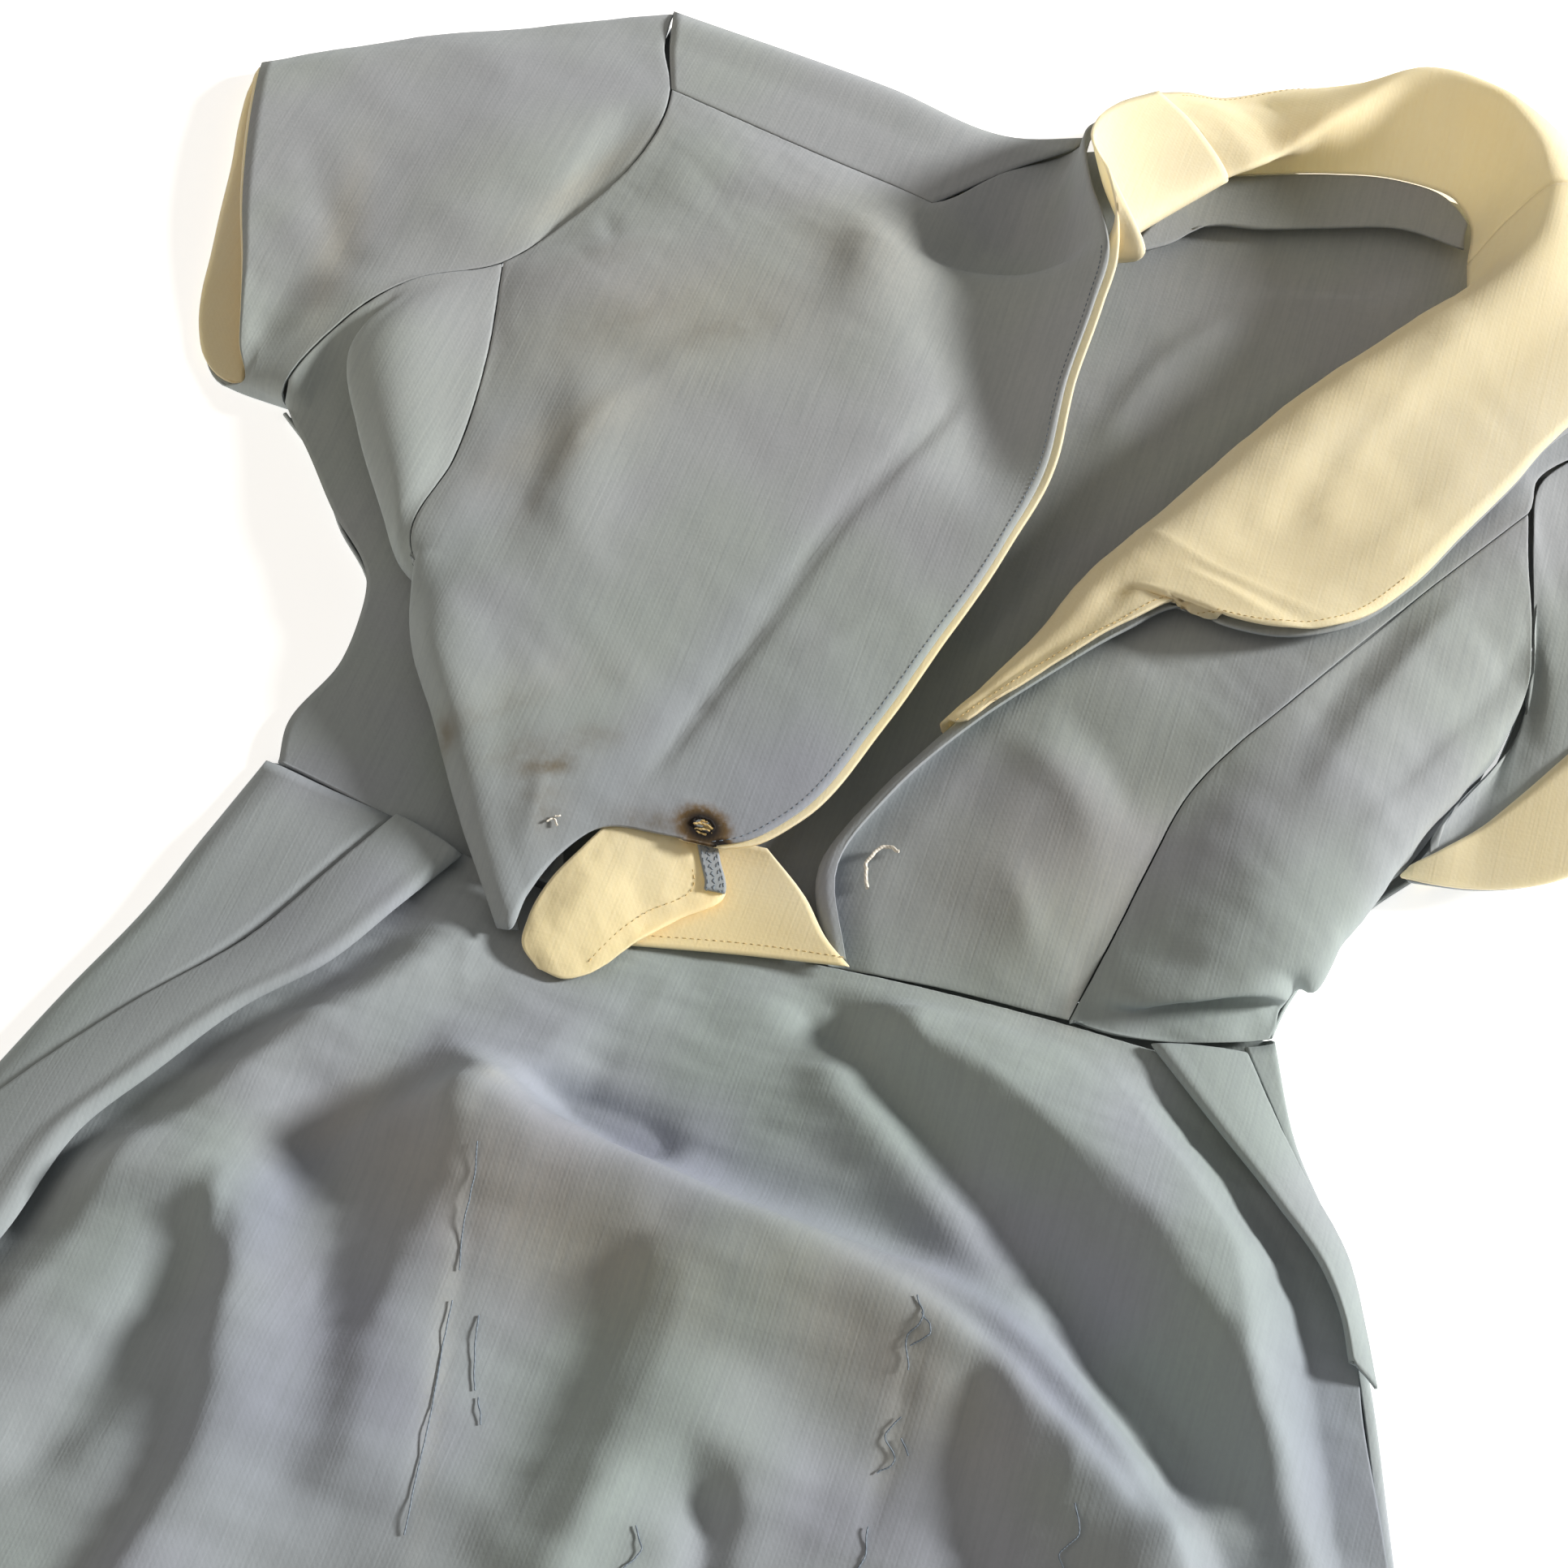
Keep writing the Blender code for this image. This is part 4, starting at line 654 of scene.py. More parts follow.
def makeBack(s):
    below, above, rightFold, neck, leftFold = s["steps"]
    edgeR = np.concatenate([evenly(onFloor(inset(outlines["sideRight"], s["foldOut"])), below),
                            evenly(onFloor(outlines["backArmRight"]), above)[1:]])
    edgeL = np.concatenate([evenly(onFloor(inset(outlines["sideLeft"], -s["foldOut"])), below),
                            evenly(onFloor(outlines["backArmLeft"]), above)[1:]])
    top = np.concatenate([evenly(onFloor(outlines["shoulderFoldRight"]), rightFold),
                          evenly(onFloor(outlines["neckBack"]), neck)[1:],
                          evenly(onFloor(outlines["shoulderFoldLeft"]), leftFold)[1:]])
    bottom = evenly(onFloor(outlines["waistBack"]), len(top) - 1)
    bottom[0], bottom[-1] = edgeR[0], edgeL[0]
    top[0], top[-1] = edgeR[-1], edgeL[-1]
    main = patch(bottom, top, edgeR, edgeL)
    lift = np.interp(np.arange(len(top)), [rightFold - 7, rightFold + 8, rightFold + neck - 8,
                                           rightFold + neck + 7], [0, 1, 1, 0])
    rise = np.interp(np.arange(len(main)), [len(main) - 8, len(main) - 1], [0, 1])
    main[..., 2] += ease(rise)[:, None] * ease(lift)[None] * s["neckLift"]
    main = crumple(foldCloth(main, s["creases"], 30.0, 1.3), s["crease"])
    main[..., 2] = np.maximum(main[..., 2], 0.0)
    grids = [main[::-1], lip(main[:below + 1, 0], -1, s["foldOut"])[::-1, ::-1],
             lip(main[:below + 1, -1], 1, s["foldOut"])[::-1]]
    for rows, first, count in ((yokes["right"], 0, rightFold), (yokes["left"], rightFold + neck, leftFold)):
        base = main[-1, first:first + count + 1]
        lines = np.stack([base] + [evenly(row, count) for row in rows])
        fine = smoothLine(lines, 9)
        trim(fine, bottom=gap)
        grids.append(seamEdge(fine, "bottom"))
    return clothPiece("bodiceBack", grids, s, outward=True)


makeBack(backSettings)


# right side front, swung under the big fold

sideFrontRightSettings = {
    "cloth": "blue", "node": ["side_front_right"], "held": "folded", "restsOn": ["bodiceBack"],
    "flat": (0.16, 0.33), "area": 0.031, "across": 8, "along": 12,
    # side, low layer, turn under the fold, return, fold, seam
    "rows": (
        ((-268, 163, 6), (-262, 183, 12), (-258, 199, 17), (-256, 206, 18.5), (-250, 217, 20),
         (-243, 227, 21.5), (-236, 234, 22), (-222, 244, 22), (-204, 255, 22)),
        ((-256, 152, 5.5), (-248, 166, 8), (-240, 176, 10), (-233, 182, 13), (-235, 186, 16.5),
         (-241, 190, 17.5), (-247, 190, 20.5), (-238, 198, 26), (-197, 224, 23)),
        ((-228, 120, 5.5), (-215, 130, 8), (-204, 138, 9), (-192, 145, 12), (-194, 148, 15.5),
         (-212, 149, 17), (-227, 150, 20.5), (-220, 157, 27), (-189, 180, 25)),
        ((-200, 90, 5.5), (-185, 92, 8), (-170, 97, 9), (-152, 103, 11), (-154, 107, 15),
         (-180, 111, 16.5), (-201, 113, 20.5), (-196, 118, 27.5), (-182, 130, 27)),
        ((-195, 68, 5.5), (-175, 71, 8), (-155, 76, 9), (-133, 83, 11), (-135, 87, 14.5),
         (-160, 89, 16), (-186, 93, 18.5), (-187, 96, 22), (-184, 100, 25)),
        ((-194, 50, 5.5), (-170, 52, 8), (-145, 56, 9), (-118, 61, 11), (-120, 64, 14),
         (-133, 66, 14.8), (-140, 67, 15.2), (-147, 68, 15.6), (-154, 68, 16)),
        ((-202, 14, 5.5), (-175, 12, 8), (-135, 15, 9), (-92, 17, 10.5), (-94, 20, 13.2),
         (-102, 20, 13.8), (-108, 21, 14.2), (-115, 21, 14.6), (-122, 21, 15)),
        ((-198, -2, 6), (-170, -9, 9), (-135, -17, 10), (-73, -27, 10), (-74, -26, 12.8),
         (-80, -26, 13.3), (-84, -26, 13.7), (-88, -27, 14.1), (-92, -27, 14.5)),
    ),
}


def makeSideFrontRight(s):
    grid = plainGrid(s)
    meetSeam(grid.transpose(1, 0, 2)[::-1], seams["princessRight"])
    meetSeam(grid, sleeveRings["right"][0], closed=True)
    trim(grid, top=2 * gap, bottom=gap / 2, right=gap / 2)
    for side in ("top", "bottom", "right"):
        grid = seamEdge(grid, side)
    return clothPiece("sideFrontRight", [grid], s)


makeSideFrontRight(sideFrontRightSettings)


# right front, its lapel flopped over, cream showing past its edge

frontRightSettings = {
    "marks": ("soil", "char", "violet", "brown", "worn"),
    "cloth": "blue", "node": ["front_right"], "held": "folded",
    "restsOn": ["sideFrontRight", "frontLeft", "bodiceBack"],
    "flat": (0.26, 0.48), "area": 0.086, "across": 11, "along": 11, "piping": 3.0,
    "crease": {"size": 24, "amount": 0.5, "seed": 1.7, "turn": 55, "stretch": 2.4},
    "hollows": (
        ("lapel hollow", -9, 26, 30, ((-16, 350), (-6, 305), (8, 258), (26, 206), (34, 160))),
        ("under the leaf", -4, 14, 14, ((6, 372), (0, 344), (2, 318))),
    ),
    "creases": (
        ("lapel crease", -2.6, 6, 3, ((6, 242), (-6, 200), (-23, 156), (-34, 107), (-47, 57), (-57, 14))),
        ("chest crease", 0.9, 4, 9, ((-96, 237), (-128, 189), (-139, 150), (-134, 104))),
        ("low drag", -1.1, 5, 8, ((-137, 18), (-120, 34), (-96, 52), (-70, 66))),
        ("smudge fold", 1.5, 4, 7, ((-96, 22), (-92, 2), (-88, -26))),
        ("arm pull", 1.0, 4, 6, ((-180, 262), (-160, 274), (-128, 288))),
        ("shoulder nick", -1.2, 3, 5, ((-174, 296), (-166, 284), (-158, 270))),
        ("neck pull", 0.9, 5, 8, ((-30, 350), (-62, 318), (-104, 296))),
        ("lapel ripple", 0.8, 8, 8, ((8, 120), (-10, 96), (-24, 84))),
    ),
    # seam, fold, top of the fold, chest, chest, lapel crease, lapel, lapel edge
    "rows": (
        ((-173, 383, 16), (-150, 376, 17.5), (-128, 370, 19), (-100, 361, 20.5),
         (-40, 345, 22), (-18, 374, 19), (9, 406, 13), (22, 406, 38)),
        ((-171, 358, 19), (-148, 354, 22), (-125, 350, 24), (-98, 345, 26),
         (-45, 332, 27), (-12, 352, 16), (10, 372, 22), (19, 366, 60)),
        ((-170, 334, 22), (-147, 331, 26), (-124, 328, 28), (-97, 325, 30),
         (-45, 318, 31), (-10, 330, 18), (14, 336, 24), (29, 340, 62)),
        ((-173, 318, 22), (-149, 315, 27), (-124, 312, 29), (-97, 309, 31),
         (-46, 306, 34), (-8, 314, 26), (16, 315, 30), (42, 318, 62)),
        ((-177, 306, 22), (-151, 303, 27), (-126, 301, 30), (-98, 299, 32),
         (-45, 298, 35), (-7, 304, 38), (18, 305, 43), (47, 307, 60)),
        ((-191, 278, 22), (-163, 276, 28), (-135, 274, 31), (-105, 272, 33),
         (-46, 268, 37), (-3, 270, 40), (24, 274, 45), (48, 281, 56)),
        ((-204, 255, 22), (-175, 252, 28), (-146, 249, 31), (-112, 246, 33),
         (-52, 238, 36), (0, 230, 39), (25, 236, 42), (47, 245, 50)),
        ((-190, 201, 24), (-174, 199, 27), (-148, 196, 30), (-118, 193, 32),
         (-65, 188, 34), (-12, 182, 36), (22, 192, 39), (50, 205, 44)),
        ((-182, 145, 26), (-172, 144, 28), (-150, 140, 30), (-120, 137, 32),
         (-72, 130, 33), (-27, 125, 34), (12, 140, 36), (44, 158, 38)),
        ((-183, 100, 27), (-178, 100, 28), (-160, 97, 29.5), (-125, 93, 31),
         (-80, 88, 31), (-39, 84, 31), (-4, 96, 33), (32, 109, 34)),
        ((-154, 68, 16), (-172, 70, 20.5), (-164, 68, 27), (-125, 62, 30),
         (-84, 56, 30), (-47, 57, 29.5), (-10, 64, 31), (22, 70, 31)),
        ((-122, 21, 15), (-141, 21, 20.5), (-134, 20, 27), (-110, 18, 29),
         (-80, 16, 29), (-55, 20, 28), (-28, 20, 28), (4, 21, 28)),
        ((-104, -8, 15), (-122, -8, 20.5), (-115, -9, 26), (-100, -8, 28),
         (-82, -4, 28), (-62, 5, 27.5), (-38, 6, 27), (-10, 6, 26.5)),
        ((-80, -50, 16.5), (-88, -53, 19), (-83, -54, 22.5), (-81, -38, 24),
         (-75, -18, 25), (-66, -5, 26), (-42, 0, 26), (-20, 1.5, 26)),
    ),
    "folds": (
        ("neck fold", 5, 14, 20, ((-60, 330), (-52, 290), (-48, 250))),
        ("chest drag", 3, 12, 16, ((-150, 215), (-130, 150), (-120, 90))),
    ),
}


def frontRightGrid(s, piped):
    rows = np.array(s["rows"], float)
    if piped:
        way = rows[:, -2] - rows[:, -1]
        rows[:, -1] += way / np.linalg.norm(way, axis=1, keepdims=True) * s["piping"]
    grid = foldCloth(foldCloth(skin(rows, s["across"], s["along"]), s["folds"]), s["hollows"], 50.0)
    return crumple(foldCloth(grid, s["creases"], 30.0, 1.2), s["crease"])


burnSettings = {
    "at": (-29.0, 7.5), "size": (4.4, 3.0), "turn": -12, "seed": 0.01, "curl": 0.7,
    # radii of the finer patches, least height, radius of the rim
    "finer": (15.0, 10.0), "above": 20.0, "rim": 9.0,
}


def burnHole(bm):
    # a hole burnt through near the lapel's lower corner: a finer patch, its middle taken out
    s = burnSettings
    middle = Vector(s["at"]) * mm
    for reach in s["finer"]:
        near = [e for e in bm.edges if all((v.co.xy - middle).length < reach * mm
                                           and v.co.z > s["above"] * mm for v in e.verts)]
        bmesh.ops.subdivide_edges(bm, edges=near, cuts=2, use_grid_fill=True)
    turn = math.radians(s["turn"])
    gone = []
    for face in bm.faces:
        off = face.calc_center_median()
        if off.z < s["above"] * mm or (off.xy - middle).length > s["finer"][1] * 1.2 * mm:
            continue
        x, y = off.x - middle.x, off.y - middle.y
        u = (x * math.cos(turn) + y * math.sin(turn)) / (s["size"][0] * mm)
        v = (-x * math.sin(turn) + y * math.cos(turn)) / (s["size"][1] * mm)
        rough = 0.22 * noise.noise(Vector((x, y, s["seed"])) / (2.2 * mm))
        if u * u + v * v < 1 + rough:
            gone.append(face)
    bmesh.ops.delete(bm, geom=gone, context="FACES")
    rim = [v for v in bm.verts if v.is_boundary and (v.co.xy - middle).length < s["rim"] * mm]
    for v in rim:
        v.co.z += s["curl"] * mm * (0.6 + 0.6 * noise.noise(v.co / (3 * mm)))


def makeFrontRight(s):
    grid = frontRightGrid(s, True)
    starts = 6 * s["along"]
    meetSeam(grid[:, :4 * s["across"] + 1], yokes["right"][-1])
    side = grid.transpose(1, 0, 2)
    meetSeam(side[:, :starts + 1], sleeveRings["right"][0], closed=True)
    meetSeam(side[:, starts + 1:], seams["princessRight"])
    trim(grid, top=gap, left=gap)
    grid = seamEdge(seamEdge(grid, "left"), "top")
    return clothPiece("frontRight", [grid], s, hole=burnHole)


makeFrontRight(frontRightSettings)


# left front and side front, the front's edge turned over on itself

frontLeftSettings = {
    "marks": ("violet", "brown", "worn"),
    "cloth": "blue", "node": ["front_left"], "held": "folded", "restsOn": ["bodiceBack"],
    "flat": (0.20, 0.49), "area": 0.061, "across": 9, "along": 7,
    "crease": {"size": 22, "amount": 0.5, "seed": 2.9, "turn": 50, "stretch": 2.6},
    "creases": (
        ("front drag", 2.6, 6, 14, ((60, 92), (92, 70), (120, 36))),
        ("front hollow", -2.4, 9, 9, ((74, 112), (104, 84), (126, 52))),
        ("waist pull", 1.8, 5, 10, ((100, -12), (92, 14), (72, 40))),
        ("chest pull", 1.1, 6, 8, ((196, 232), (176, 190), (150, 150))),
    ),
    # seam, chest, chest, under the roll, roll, on the roll, lapel, lapel edge
    "rows": (
        ((272, 312, 16), (250, 331, 17), (230, 344, 19), (214, 354, 30),
         (205, 362, 45), (211, 360, 48), (240, 348, 40), (268, 338, 27)),
        ((248, 290, 20), (237, 304, 21), (221, 320, 25), (208, 333, 35),
         (197, 343, 45), (202, 341, 48), (230, 325, 39), (258, 312, 31)),
        ((235, 268, 26), (224, 286, 26), (209, 306, 28), (197, 322, 37),
         (187, 334, 44), (191, 331, 47), (212, 305, 39), (235, 277, 35)),
        ((234, 245, 31), (217, 262, 29), (198, 282, 28), (178, 302, 33),
         (167, 311, 39), (171, 308, 42.5), (195, 285, 38), (226, 253, 35.5)),
        ((223, 227, 31), (200, 240, 28), (178, 252, 26), (155, 266, 29),
         (139, 273, 34), (144, 271, 38), (172, 250, 36), (211, 220, 35.5)),
        ((200, 189, 31), (180, 200, 28), (158, 212, 26), (132, 226, 27),
         (116, 233, 30), (121, 231, 34), (150, 212, 34), (197, 189, 35.5)),
        ((178, 150, 32), (160, 163, 29), (138, 176, 27), (110, 186, 25),
         (93, 190, 26), (98, 188, 30), (128, 176, 33), (178, 163, 36)),
        ((168, 133, 32), (150, 148, 29), (131, 162, 26), (106, 173, 24.5),
         (88, 181, 24.8), (93, 179, 28.8), (119, 169, 32), (157, 152, 35.5)),
        ((160, 118, 32), (143, 133, 29), (124, 149, 26), (100, 163, 23.5),
         (82, 171, 23.6), (87, 169, 27.6), (107, 161, 31), (133, 150.5, 34.5)),
        ((155, 110, 31), (137, 123, 28.5), (117, 137, 26), (93, 152, 23.2),
         (77, 160, 22.4), (82, 159, 26.4), (96, 158, 29), (115, 156, 32)),
        ((150, 102, 30), (131, 112, 28), (110, 122, 26), (86, 134, 23),
         (70, 139, 20), (75, 138, 24), (87, 137, 27), (97, 140, 30)),
        ((138, 78, 26), (118, 85, 25), (96, 94, 24), (72, 106, 20),
         (58, 112, 17.5), (62, 112, 21), (67, 112, 23), (72, 112, 24.5)),
        ((131, 45, 21), (110, 52, 24), (85, 62, 22), (58, 76, 16.5),
         (43, 83, 15), (45, 83, 18), (48, 83, 20), (51, 84, 21)),
        ((126, 10, 17), (104, 15, 20), (78, 24, 19), (46, 38, 14),
         (25, 46, 13), (26, 46, 15.6), (28, 46.5, 17), (31, 47, 18)),
        ((122, -8, 14), (98, -7, 16), (70, 0, 15), (38, 8, 12),
         (15, 13, 11), (16, 13, 13.4), (18, 13.5, 14.6), (21, 14, 15)),
        ((119, -22.5, 12), (96, -22.5, 11.8), (72, -23, 11.4), (48, -24.5, 10.8),
         (30, -25, 10.2), (31, -25, 12.6), (33, -24.7, 13.6), (36, -24.4, 13.8)),
    ),
}
sideFrontLeftSettings = {
    "cloth": "blue", "node": ["side_front_left"], "held": "laid", "restsOn": ["bodiceBack"],
    "flat": (0.13, 0.30), "area": 0.021, "across": 9, "along": 9,
    "crease": {"size": 22, "amount": 0.9, "seed": 5.2, "turn": 60, "stretch": 2.4},
    "creases": (
        ("side roll a", 2.6, 6, 12, ((222, 206), (204, 160), (188, 110), (178, 70))),
        ("side roll b", 2.2, 6, 11, ((236, 150), (216, 104), (196, 62))),
        ("side hollow", -2.0, 8, 8, ((204, 196), (184, 146), (170, 96))),
        ("arm hollow", -4.0, 12, 10, ((246, 196), (236, 160), (218, 118), (204, 80))),
    ),
    # seam, chest, roll, under, side
    "rows": (
        ((234, 245, 31), (238, 222, 31), (245, 192, 29), (249, 165, 25), (246, 148, 15), (238, 128, 7)),
        ((223, 227, 31), (231, 205, 31), (241, 175, 29), (246, 150, 22), (243, 137, 13), (235, 119, 6)),
        ((200, 189, 31), (213, 172, 32), (231, 147, 30), (240, 128, 21), (236, 119, 12), (230, 106, 6)),
        ((178, 150, 32), (194, 134, 34), (215, 112, 32), (227, 95, 22), (223, 88, 12), (222, 84, 6)),
        ((160, 118, 32), (176, 104, 34), (200, 84, 33), (216, 67, 22), (213, 61, 12), (210, 62, 6)),
        ((138, 78, 26), (158, 66, 32), (184, 50, 34), (206, 38, 23), (204, 33, 13), (203, 40, 6)),
        ((131, 45, 21), (150, 38, 28), (174, 28, 33), (198, 18, 24), (198, 15, 14), (197, 26, 6)),
        ((126, 10, 17), (143, 8, 23), (164, 6, 29), (188, 12, 26), (194, 15, 15), (193, 18, 6)),
        ((122.5, -7, 14), (139, -13, 19), (160, -8, 25), (184, 3, 23), (191, 8, 15), (191, 12, 6)),
        ((121, -14, 12.5), (138, -13, 13), (159, 0, 15), (178, 7, 14), (186, 9, 10.5), (190, 9.5, 6)),
        ((120, -18, 12), (138, -17.5, 12.2), (157, -11, 12.2), (175, -5, 10.5), (183, -1, 8),
         (190, 2, 6)),
        ((119, -22.5, 12), (138, -22, 11.8), (156, -18.5, 10.5), (174, -12, 9), (181, -8.5, 7.5),
         (189, -4, 6)),
    ),
}


def frontLeftGrid(s, across, along):
    grid = foldCloth(skin(s["rows"], across, along), s["creases"], 30.0, 1.2)
    return crumple(grid, s["crease"])


def makeFrontLeft(s):
    grid = frontLeftGrid(s, s["across"], s["along"])
    meetSeam(grid[:, :2 * s["across"] + 1], yokes["left"][-1])
    meetSeam(grid.transpose(1, 0, 2)[:, 3 * s["along"]:], seams["princessLeft"])
    trim(grid, top=gap, bottom=gap / 2, left=gap)
    for side in ("top", "bottom", "left"):
        grid = seamEdge(grid, side)
    return clothPiece("frontLeft", [grid[:, ::-1]], s)


def makeSideFrontLeft(s):
    grid = plainGrid(s)
    meetSeam(grid.transpose(1, 0, 2), seams["princessLeft"])
    grid = crumple(foldCloth(grid, s["creases"], 30.0, 1.4), s["crease"])
    trim(grid, top=gap, bottom=gap / 2, left=gap / 2)
    for side in ("top", "bottom", "left"):
        grid = seamEdge(grid, side)
    return clothPiece("sideFrontLeft", [grid], s)


makeFrontLeft(frontLeftSettings)
makeSideFrontLeft(sideFrontLeftSettings)


# cream facings and collar

facingRightSettings = {
    "cloth": "cream", "node": ["facing_right"], "held": "folded", "restsOn": ["frontRight"],
    "flat": (0.087, 0.475), "area": 0.0126, "across": 9, "along": 11, "under": layer + 2 * gap,
    # the open leaf: edge, middle, roll, under
    "leaf": (
        ((37, 434.5, 28), (59, 409.5, 36), (79, 381.5, 38), (73, 391, 26)),
        ((24, 404, 44), (41, 376, 46), (58, 347, 42), (54, 355, 31)),
        ((20.5, 380, 56), (35, 354, 53), (51, 332, 46), (49, 338, 37)),
        ((22, 363, 62), (33, 342, 57.5), (48, 321, 49), (46, 325, 42)),
        ((33.5, 344, 64), (43.5, 332, 61), (57.5, 314, 53), (55.5, 317, 47)),
    ),
}
facingLeftSettings = {
    "marks": ("soil",),
    "cloth": "cream", "node": ["facing_left"], "held": "folded", "restsOn": ["frontLeft"],
    "flat": (0.123, 0.45), "area": 0.0353, "across": 9, "along": 9, "over": layer + gap,
    "rollEase": 1.3, "notchEase": 1.9,
    # where it rolls, falls, clears the front and eases at its notch, in rows and columns of the front
    "rollAt": (2.6, 3.0, 5.0, 5.6), "fallAt": (4.8, 5.2),
    "clearAt": (5.6, 6.2), "notchAt": (6.6, 7.0, 8.6, 9.0),
    "creases": (
        ("lapel fold", 1.6, 4, 9, ((196, 330), (176, 280), (160, 232), (156, 190))),
        ("lapel line", 1.2, 4, 7, ((150, 262), (136, 220), (132, 186))),
        ("lobe pull", 1.2, 5, 8, ((212, 268), (196, 226), (178, 186))),
        ("strip line", 0.8, 4, 6, ((108, 178), (90, 140), (66, 104))),
    ),
    # round the left of the neck: neck side, stand, roll, fall, edge
    "scoop": (
        ((187, 385, 16), (199.5, 396.2, 38), (213.5, 404.3, 54), (240, 410.2, 38), (262, 411.2, 18)),
        ((189, 364, 26), (201, 368, 44), (211, 373, 54), (243, 368, 45), (275, 362, 31)),
    ),
}
collarSettings = {
    "cloth": "cream", "node": ["collar"], "held": "folded", "restsOn": ["bodiceBack", "backNeckFacing"],
    "flat": (0.117, 0.285), "area": 0.0217, "across": 10, "along": 10,
    "crease": {"size": 20, "amount": 0.6, "seed": 6.1, "turn": 70, "stretch": 2.2},
    "creases": (
        ("roll crease", 2.2, 4, 8, ((150, 462), (170, 432), (182, 392))),
        ("stand crease", -1.6, 4, 7, ((100, 424), (88, 446), (74, 470))),
        ("fall crease", 1.4, 4, 7, ((196, 442), (206, 414), (204, 384))),
    ),
    # from the neck over the roll: neck seam, stand, roll, fall, edge
    "rows": (
        ((65, 408, 10), (71, 400, 24), (79, 382, 38), (59, 410, 36), (37, 435, 28)),
        ((80, 415, 9), (84, 408, 24), (89, 392, 38), (67, 425, 31), (48, 451, 17)),
        ((98, 421, 10), (99, 416, 24), (98, 404, 36), (80, 436, 25), (61, 463, 7)),
        ((120, 426, 12), (120, 428, 28), (120, 432, 40), (104, 460, 25), (91, 481, 5)),
        ((146, 430, 13), (146, 444, 32), (144, 464, 46), (146, 480, 28), (147, 489, 5)),
        ((168, 427, 13), (173, 440, 34), (179, 456, 52), (190, 469, 32), (197, 477, 6)),
        ((182, 412, 14), (191, 422, 37), (200, 433, 54), (222, 444, 36), (239, 450, 14)),
        ((186, 386, 16), (199, 397, 38), (213, 405, 54), (240, 411, 38), (262, 412, 18)),
    ),
}
neckFacingSettings = {
    "cloth": "blue", "node": ["back_neck_facing"], "held": "laid", "restsOn": ["bodiceBack"],
    "flat": (0.156, 0.060), "area": 0.0041, "across": 8, "along": 10,
    # from the neck seam down
    "rows": (
        ((65, 408, 10), (80, 415, 9), (98, 421, 10), (120, 426, 12), (146, 430, 13), (168, 427, 13),
         (182, 412, 14)),
        ((55, 384, 10.4), (76, 397, 8.7), (97, 403, 8.8), (120, 409, 10.4), (150, 414, 13), (170, 412, 14),
         (182, 401, 15)),
        ((44, 352, 10.5), (60, 365, 9), (76, 383, 8.3), (96, 387, 8.8), (121, 394, 10.5), (155, 401, 14),
         (183, 396, 15)),
    ),
}


def makeFacingRight(s, front):
    across, along = front["across"], front["along"]
    fine = frontRightGrid(front, False)
    under = (fine - normals(fine) * s["under"])[4 * along:]
    share = np.linspace(0, 0.75, 3 * s["across"] + 1) * across
    columns = np.arange(across + 1)
    lapel = under[:, ::-1][:, :across + 1]
    strip = np.stack([np.stack([np.interp(share, columns, row[:, k]) for k in range(3)], 1)
                      for row in lapel])
    rows = np.concatenate([np.array(s["leaf"], float), strip[::along, ::s["across"]]])
    grid = skin(rows, s["across"], s["along"])
    start = len(s["leaf"]) * s["along"]
    grid[start:] = strip
    return clothPiece("facingRight", [grid], s)


def facingLeftLaid(s, front):
    fine = frontLeftGrid(front, s["across"], s["along"])
    column = np.arange(fine.shape[1]) / s["across"]
    upDown, up = [0, 1, 1, 0], [0, 1]
    step = s["over"] + s["rollEase"] * np.interp(column, s["rollAt"], upDown)
    step = step + 2 * gap * np.interp(column, s["fallAt"], up)
    laid = fine + normals(fine) * step[None, :, None]
    line = np.arange(fine.shape[0]) / s["along"]
    laid[..., 2] += (6 * gap * np.interp(line, s["clearAt"], up))[:, None]
    laid[..., 2] += s["notchEase"] * (np.interp(line, s["notchAt"], upDown)[:, None]
                                      * np.interp(column, s["clearAt"], up)[None])
    laid = foldCloth(laid, s["creases"], 24.0, 1.2)
    return laid[2 * s["along"]:12 * s["along"] + 1, 3 * s["across"]:]


def makeFacingLeft(s, front):
    laid = facingLeftLaid(s, front)
    rows = np.concatenate([np.array(s["scoop"], float), laid[::s["along"], ::s["across"]]])
    grid = skin(rows, s["across"], s["along"])
    grid[2 * s["along"]:] = laid
    return clothPiece("facingLeft", [grid[:, ::-1]], s, outward=True)


def collarGrid(s):
    grid = foldCloth(plainGrid(s), s["creases"], 24.0, 1.2)
    return crumple(grid, s["crease"])


def makeCollar(s):
    grid = collarGrid(s)
    trim(grid, top=gap, bottom=gap, left=gap / 2)
    return clothPiece("collarFall", [grid], s)


def makeNeckFacing(s):
    grid = plainGrid(s)
    meetSeam(grid, [row[0] for row in collarSettings["rows"]])
    return clothPiece("backNeckFacing", [trim(grid, top=gap)], s)


makeFacingRight(facingRightSettings, frontRightSettings)
makeFacingLeft(facingLeftSettings, frontLeftSettings)
makeCollar(collarSettings)
makeNeckFacing(neckFacingSettings)


# the facing turned out at the waist, its seam tape, and the placket's facing

